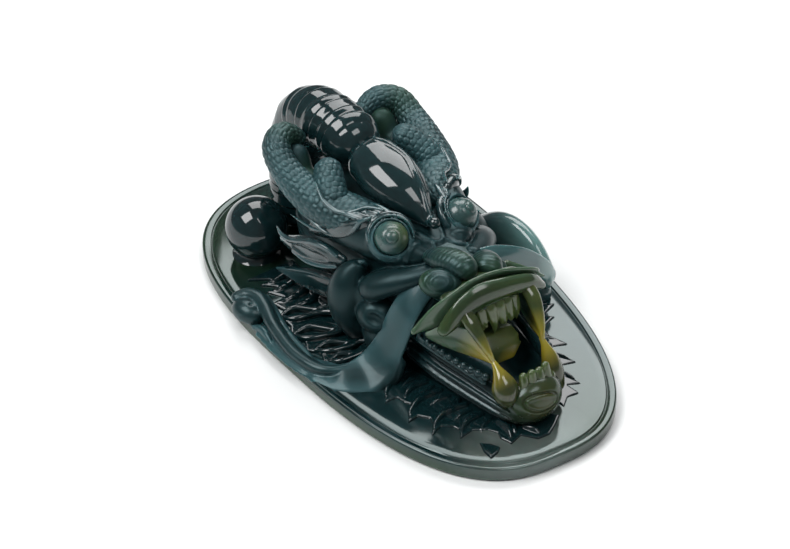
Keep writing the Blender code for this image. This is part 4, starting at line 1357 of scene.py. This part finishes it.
def whisker_left():
    """A tall curved ribbon from the nose down to the tablet, then a ridge along the rim to a curl."""
    clay = Clay((-23, -16.5, 2.0), (-2.5, 18.5, 20.5), 0.17)
    crest_line = [
        (-3.4, -11.6, 19.4), (-6.1, -10.6, 17.9), (-8.4, -10.0, 15.6), (-9.8, -9.4, 12.9),
        (-10.5, -8.8, 10.0), (-11.6, -8.2, 7.4), (-13.4, -7.7, 5.3), (-15.8, -7.2, 4.2),
    ]
    foot_line = [
        (-3.6, -13.8, 17.4), (-6.6, -13.8, 15.8), (-8.8, -13.8, 13.4), (-9.9, -13.6, 10.4),
        (-10.8, -13.2, 7.2), (-12.4, -12.4, 4.2), (-14.8, -11.2, 2.2), (-17.4, -9.6, 1.6),
    ]
    ribbon(clay, crest_line, foot_line, 0.62, 0.3)
    clay.stroke([
        (-10.4, -13.0, 5.6, 0.5, 0.6), (-11.8, -12.4, 3.6, 1.4, 1.2), (-14.0, -10.8, 2.2, 2.6, 1.2),
        (-16.6, -8.4, 2.0, 3.0, 1.2), (-18.4, -4.6, 1.9, 2.9, 1.2),
    ], 1.8)
    clay.stroke(thick(crest_line, 0.2, 0.24), 0.3)
    clay.stroke([
        (-15.8, -7.2, 3.9, 0.5, 0.45), (-18.2, -6.1, 3.6, 0.8, 0.7), (-19.6, -3.8, 3.5, 0.95, 0.8),
        (-20.1, 0.6, 3.5, 1.05, 0.85), (-19.7, 4.6, 3.7, 1.05, 0.9), (-19.0, 8.0, 3.9, 1.1, 0.95),
        (-18.0, 11.0, 4.1, 1.15, 1.0), (-17.5, 13.6, 4.2, 1.2, 1.0), (-18.1, 15.6, 4.0, 1.1, 0.95),
        (-19.6, 16.4, 3.6, 1.0, 0.9),
    ], 0.35)
    clay.stroke([
        (-15.2, -7.4, 2.0, 2.0, 0.9), (-18.6, -4.0, 2.0, 2.4, 0.9), (-20.0, 2.0, 2.0, 2.0, 0.8),
        (-19.6, 8.4, 2.0, 2.0, 0.8),
    ], 0.7)
    clay.stroke([
        (-18.7, -3.4, 2.7, 0.3, 0.3), (-18.5, 0.1, 3.1, 0.5, 0.5), (-18.3, 3.6, 3.2, 0.55, 0.55),
        (-17.7, 7.2, 3.3, 0.6, 0.6), (-16.7, 10.8, 3.4, 0.6, 0.6), (-15.9, 14.0, 3.3, 0.5, 0.5),
    ], 0.15)
    clay.ball((-19.7, 13.4, 2.8), (2.0, 2.9, 1.9), 0.3, turn=(0, 0, 0.2))
    clay.ball((-19.6, 12.7, 5.0), (0.42, 0.3, 0.6), 0.25, carve=True)
    clay.stroke([
        (-20.9, 10.2, 2.4, 0.3, 0.4), (-20.5, 8.8, 2.8, 0.5, 0.6), (-20.7, 7.0, 2.8, 0.5, 0.6),
        (-21.0, 5.4, 2.4, 0.2, 0.4),
    ], 0.15)
    clay.trim_below(FOOT)
    clay.skin("whisker_ribbon_left", RIBBON, "whisker_left", passes=4)


def whisker_right():
    """The other ribbon, thin and concave towards the jaw, then a broad glossy dome behind it."""
    clay = Clay((3, -16, 1.9), (23.6, 17.5, 21), 0.17)
    crest_line = [
        (4.0, -12.5, 19.8), (6.2, -12.5, 19.3), (8.4, -12.5, 18.4), (11.0, -12.5, 17.0),
        (13.6, -12.4, 15.1), (16.2, -12.2, 12.6), (18.2, -11.8, 10.2), (19.2, -11.4, 8.4),
    ]
    foot_line = [
        (4.6, -14.0, 17.8), (6.4, -14.0, 16.8), (8.6, -13.9, 15.4), (10.8, -13.7, 13.6),
        (13.2, -13.4, 11.4), (15.4, -13.0, 9.4), (17.4, -12.4, 7.6), (18.8, -11.8, 6.6),
    ]
    ribbon(clay, crest_line, foot_line, 0.5, 0.3)
    clay.stroke(thick(crest_line, 0.2, 0.24), 0.3)
    clay.stroke([
        (17.4, -12.2, 7.4, 1.0, 1.2), (18.8, -9.8, 7.2, 1.6, 1.8), (19.2, -5.6, 8.2, 1.9, 3.5),
        (18.8, -0.8, 8.5, 2.3, 3.8), (18.0, 4.4, 6.0, 2.4, 3.0), (17.0, 9.6, 4.0, 1.9, 2.0),
        (15.9, 13.6, 3.2, 1.1, 1.2),
    ], 0.5)
    clay.stroke([
        (18.6, -9.6, 3.2, 1.6, 2.0), (19.3, -4.6, 3.4, 2.2, 2.4), (18.8, 2.0, 3.0, 2.3, 2.4),
        (17.6, 8.0, 2.6, 2.0, 1.6),
    ], 0.9)
    clay.trim_below(FOOT)
    clay.skin("whisker_ribbon_right", RIBBON_RIGHT, "whisker_right", passes=4)


# Mane: low relief on the tablet

def plate(clay, outline, top, round_over=0.25):
    """A low flat plate with this outline of x, y points."""
    corners = np.array(outline, float)
    x = clay.axes[0][:, None]
    y = clay.axes[1][None, :]
    nearest = np.full((len(clay.axes[0]), len(clay.axes[1])), FAR)
    inside = np.zeros(nearest.shape, bool)
    for (ax, ay), (bx, by) in zip(corners, np.roll(corners, -1, axis=0)):
        length = (bx - ax) ** 2 + (by - ay) ** 2
        share = np.clip(((x - ax) * (bx - ax) + (y - ay) * (by - ay)) / length, 0, 1)
        nearest = np.minimum(nearest, np.hypot(x - ax - share * (bx - ax), y - ay - share * (by - ay)))
        crosses = (ay > y) != (by > y)
        inside ^= crosses & (x < ax + (y - ay) / (by - ay + 1e-9) * (bx - ax))
    flat = np.where(inside, -nearest, nearest)[:, :, None]
    above = (clay.axes[2] - top)[None, None, :]
    body = np.maximum(flat, above) + round_corner(flat, above, round_over)
    clay.field = np.minimum(clay.field, body).astype(np.float32)


def flame(clay, root, tip, width, rise, bend):
    """A flame tongue that lies on the tablet, ridged along its middle and pointed at its tip."""
    root, tip = np.array(root, float), np.array(tip, float)
    reach = tip - root
    aside = np.array([-reach[1], reach[0]])
    rows = []
    for share, size in ((0, 0.9), (0.35, 1.0), (0.7, 0.62), (0.9, 0.25), (1.0, 0.05)):
        place = root + share * reach + bend * math.sin(math.pi * share) * aside
        rows.append((*place, 2.6 + 0.3 * rise * size, max(width * size, 0.1), max(rise * size, 0.12)))
    clay.stroke(rows, 0.1)


def lens_lock(clay, left, right, half_width, tails):
    """A lock that ends in a lens-shaped hollow from left to right; its rims run on to the tails."""
    left, right = np.array(left, float), np.array(right, float)
    reach = right - left
    aside = np.array([-reach[1], reach[0]]) / np.linalg.norm(reach) * half_width
    middle = 0.5 * (left + right)
    clay.stroke([
        (*(left + 0.12 * reach), 3.2, 0.2, 0.7),
        (*(left + 0.35 * reach + 0.1 * aside), 3.2, 0.7 * half_width, 1.2),
        (*(left + 0.65 * reach), 3.2, 0.6 * half_width, 1.2), (*(left + 0.95 * reach), 3.3, 0.15, 0.6),
    ], 0.15, carve=True)
    for side, tail in zip((1, -1), tails):
        clay.stroke([
            (*left, 2.9, 0.3, 0.3), (*(0.5 * (left + middle) + 0.85 * side * aside), 3.2, 0.42, 0.42),
            (*(middle + side * aside), 3.4, 0.48, 0.45), (*(right + 0.35 * side * aside), 3.5, 0.5, 0.48),
            (*(0.5 * (right + np.array(tail)) + 0.25 * aside), 3.8, 0.55, 0.5), (*tail, 4.0, 0.45, 0.5),
        ], 0.15)


def mane_left():
    """Four locks with hollow ends between the cheek and the whisker, and low waves beside the pearl."""
    clay = Clay((-19.5, -10, 2.0), (-6, 21, 6), 0.15)
    plate(clay, [
        (-7.0, -7.6), (-12.0, -7.4), (-15.6, -4.6), (-17.4, -3.0), (-16.6, -1.2), (-18.0, 0.6),
        (-17.0, 2.4), (-18.2, 4.4), (-16.6, 6.8), (-16.8, 9.2), (-15.2, 10.6), (-15.8, 12.8), (-13.4, 13.0),
        (-14.8, 15.6), (-12.6, 15.4), (-14.6, 17.6), (-12.4, 17.6), (-15.6, 19.8), (-7.0, 19.8),
    ], 2.98)
    lens_lock(clay, (-16.4, 9.4), (-11.8, 6.6), 1.25, ((-8.8, 5.4), (-9.2, 2.6)))
    lens_lock(clay, (-17.4, 4.6), (-12.5, 1.2), 1.3, ((-9.2, 1.0), (-9.8, -1.2)))
    lens_lock(clay, (-16.8, -0.2), (-12.2, -2.8), 1.0, ((-9.4, -2.4), (-10.2, -4.2)))
    lens_lock(clay, (-16.6, -3.6), (-13.0, -5.2), 0.75, ((-10.0, -5.0), (-10.6, -6.6)))
    for root, tip, bend in (
        ((-8.4, 13.0), (-15.6, 12.7), 0.14), ((-8.4, 10.4), (-15.0, 10.9), 0.16),
        ((-8.0, 16.0), (-14.7, 15.5), 0.14), ((-8.0, 18.0), (-14.4, 17.5), 0.12),
    ):
        flame(clay, root, tip, 0.75, 0.9, bend)
    clay.stroke([(-8.2, 14, 2.6, 1.2, 1.2), (-8.4, 5, 2.8, 1.4, 1.4), (-8.8, -3, 2.8, 1.2, 1.4)], 0.3)
    clay.trim_below(FOOT)
    clay.skin("mane_locks_left", DARK_POLISHED, "mane_left")


def mane_right():
    """Thin zigzag flames beside the jaw."""
    clay = Clay((3, -34, 2.0), (21.5, -6, 4.4), 0.14)
    plate(clay, [
        (6.0, -8.0), (17.6, -9.4), (20.2, -9.6), (16.0, -12.0), (19.0, -12.6), (15.4, -14.0), (16.9, -15.1),
        (13.8, -16.2), (13.4, -18.4), (14.4, -21.4), (12.0, -20.6), (11.4, -23.0), (12.8, -25.4),
        (10.4, -24.8), (9.4, -27.2), (10.2, -29.6), (8.3, -28.8), (8.6, -31.2), (6.6, -31.0), (4.8, -32.4),
        (4.0, -28.0), (7.0, -20.0),
    ], 2.9)
    for root, tip in (
        ((9.4, -10.6), (18.6, -12.5)), ((9.2, -13.4), (16.4, -15.0)), ((8.8, -16.6), (14.2, -21.0)),
        ((8.4, -20.4), (12.6, -25.0)), ((7.6, -24.2), (10.0, -29.2)),
    ):
        flame(clay, root, tip, 0.4, 0.55, 0.16)
    clay.trim_below(FOOT)
    clay.skin("mane_locks_right", DARK_POLISHED, "mane_right")


def beard():
    """A jagged fan of flames on the tablet under the jaw, with one small point before the chin."""
    clay = Clay((-17, -37.5, 2.0), (5, -9, 4.8), 0.14)
    plate(clay, [
        (-8.0, -11.0), (-12.0, -12.8), (-15.7, -16.0), (-13.6, -16.2), (-13.4, -17.8), (-12.6, -19.0),
        (-14.3, -20.2), (-15.6, -21.6), (-13.7, -21.4), (-12.6, -22.8), (-12.9, -24.0), (-14.4, -25.8),
        (-12.3, -25.2), (-10.9, -26.4), (-10.6, -27.6), (-11.7, -28.9), (-9.2, -28.6), (-7.4, -29.8),
        (-6.6, -31.2), (-7.0, -32.4), (-6.4, -34.2), (-4.2, -33.6), (-2.6, -35.6), (-0.6, -35.8),
        (1.2, -34.8), (3.2, -33.4), (-2.0, -28.0), (-6.0, -20.0),
    ], 2.94)
    for root, tip, bend in (
        ((-8.8, -12.6), (-15.4, -16.0), -0.18), ((-8.4, -16.0), (-13.3, -17.8), -0.2),
        ((-7.8, -18.8), (-15.4, -21.5), -0.18), ((-7.0, -22.2), (-12.6, -22.8), 0.16),
        ((-6.8, -23.6), (-14.2, -25.7), -0.18), ((-6.2, -26.6), (-11.5, -28.8), -0.16),
        ((-5.0, -29.6), (-6.4, -34.0), 0.14), ((-2.6, -32.6), (-2.0, -35.4), 0.1),
    ):
        flame(clay, root, tip, 0.62, 0.8, bend)
    for root, tip in (
        ((-8.6, -14.4), (-12.6, -15.2)), ((-8.0, -17.4), (-12.4, -19.6)), ((-7.4, -20.6), (-11.6, -20.9)),
        ((-6.8, -25.0), (-10.8, -25.8)), ((-5.6, -28.2), (-8.6, -29.8)), ((-3.6, -31.4), (-4.8, -33.6)),
    ):
        flame(clay, root, tip, 0.42, 0.62, -0.1)
    plate(clay, [
        (-10.0, -31.3), (-8.8, -32.4), (-8.1, -33.8), (-9.1, -34.5), (-10.6, -34.8), (-10.6, -33.0),
    ], 2.86)
    clay.trim_below(FOOT)
    clay.skin("beard_locks", DARK_POLISHED, "beard")


# Everything


def main():
    add_camera()
    add_studio()
    for carve_piece in (
            tablet, pearl, crest, neck, horns, face, eyes, brows, ears, temple_spikes, muzzle, nose_rolls,
            lips, teeth, fangs, jaw, bead_teeth, chin, tongue, whisker_left, whisker_right, mane_left,
            mane_right, beard):
        carve_piece()


main()
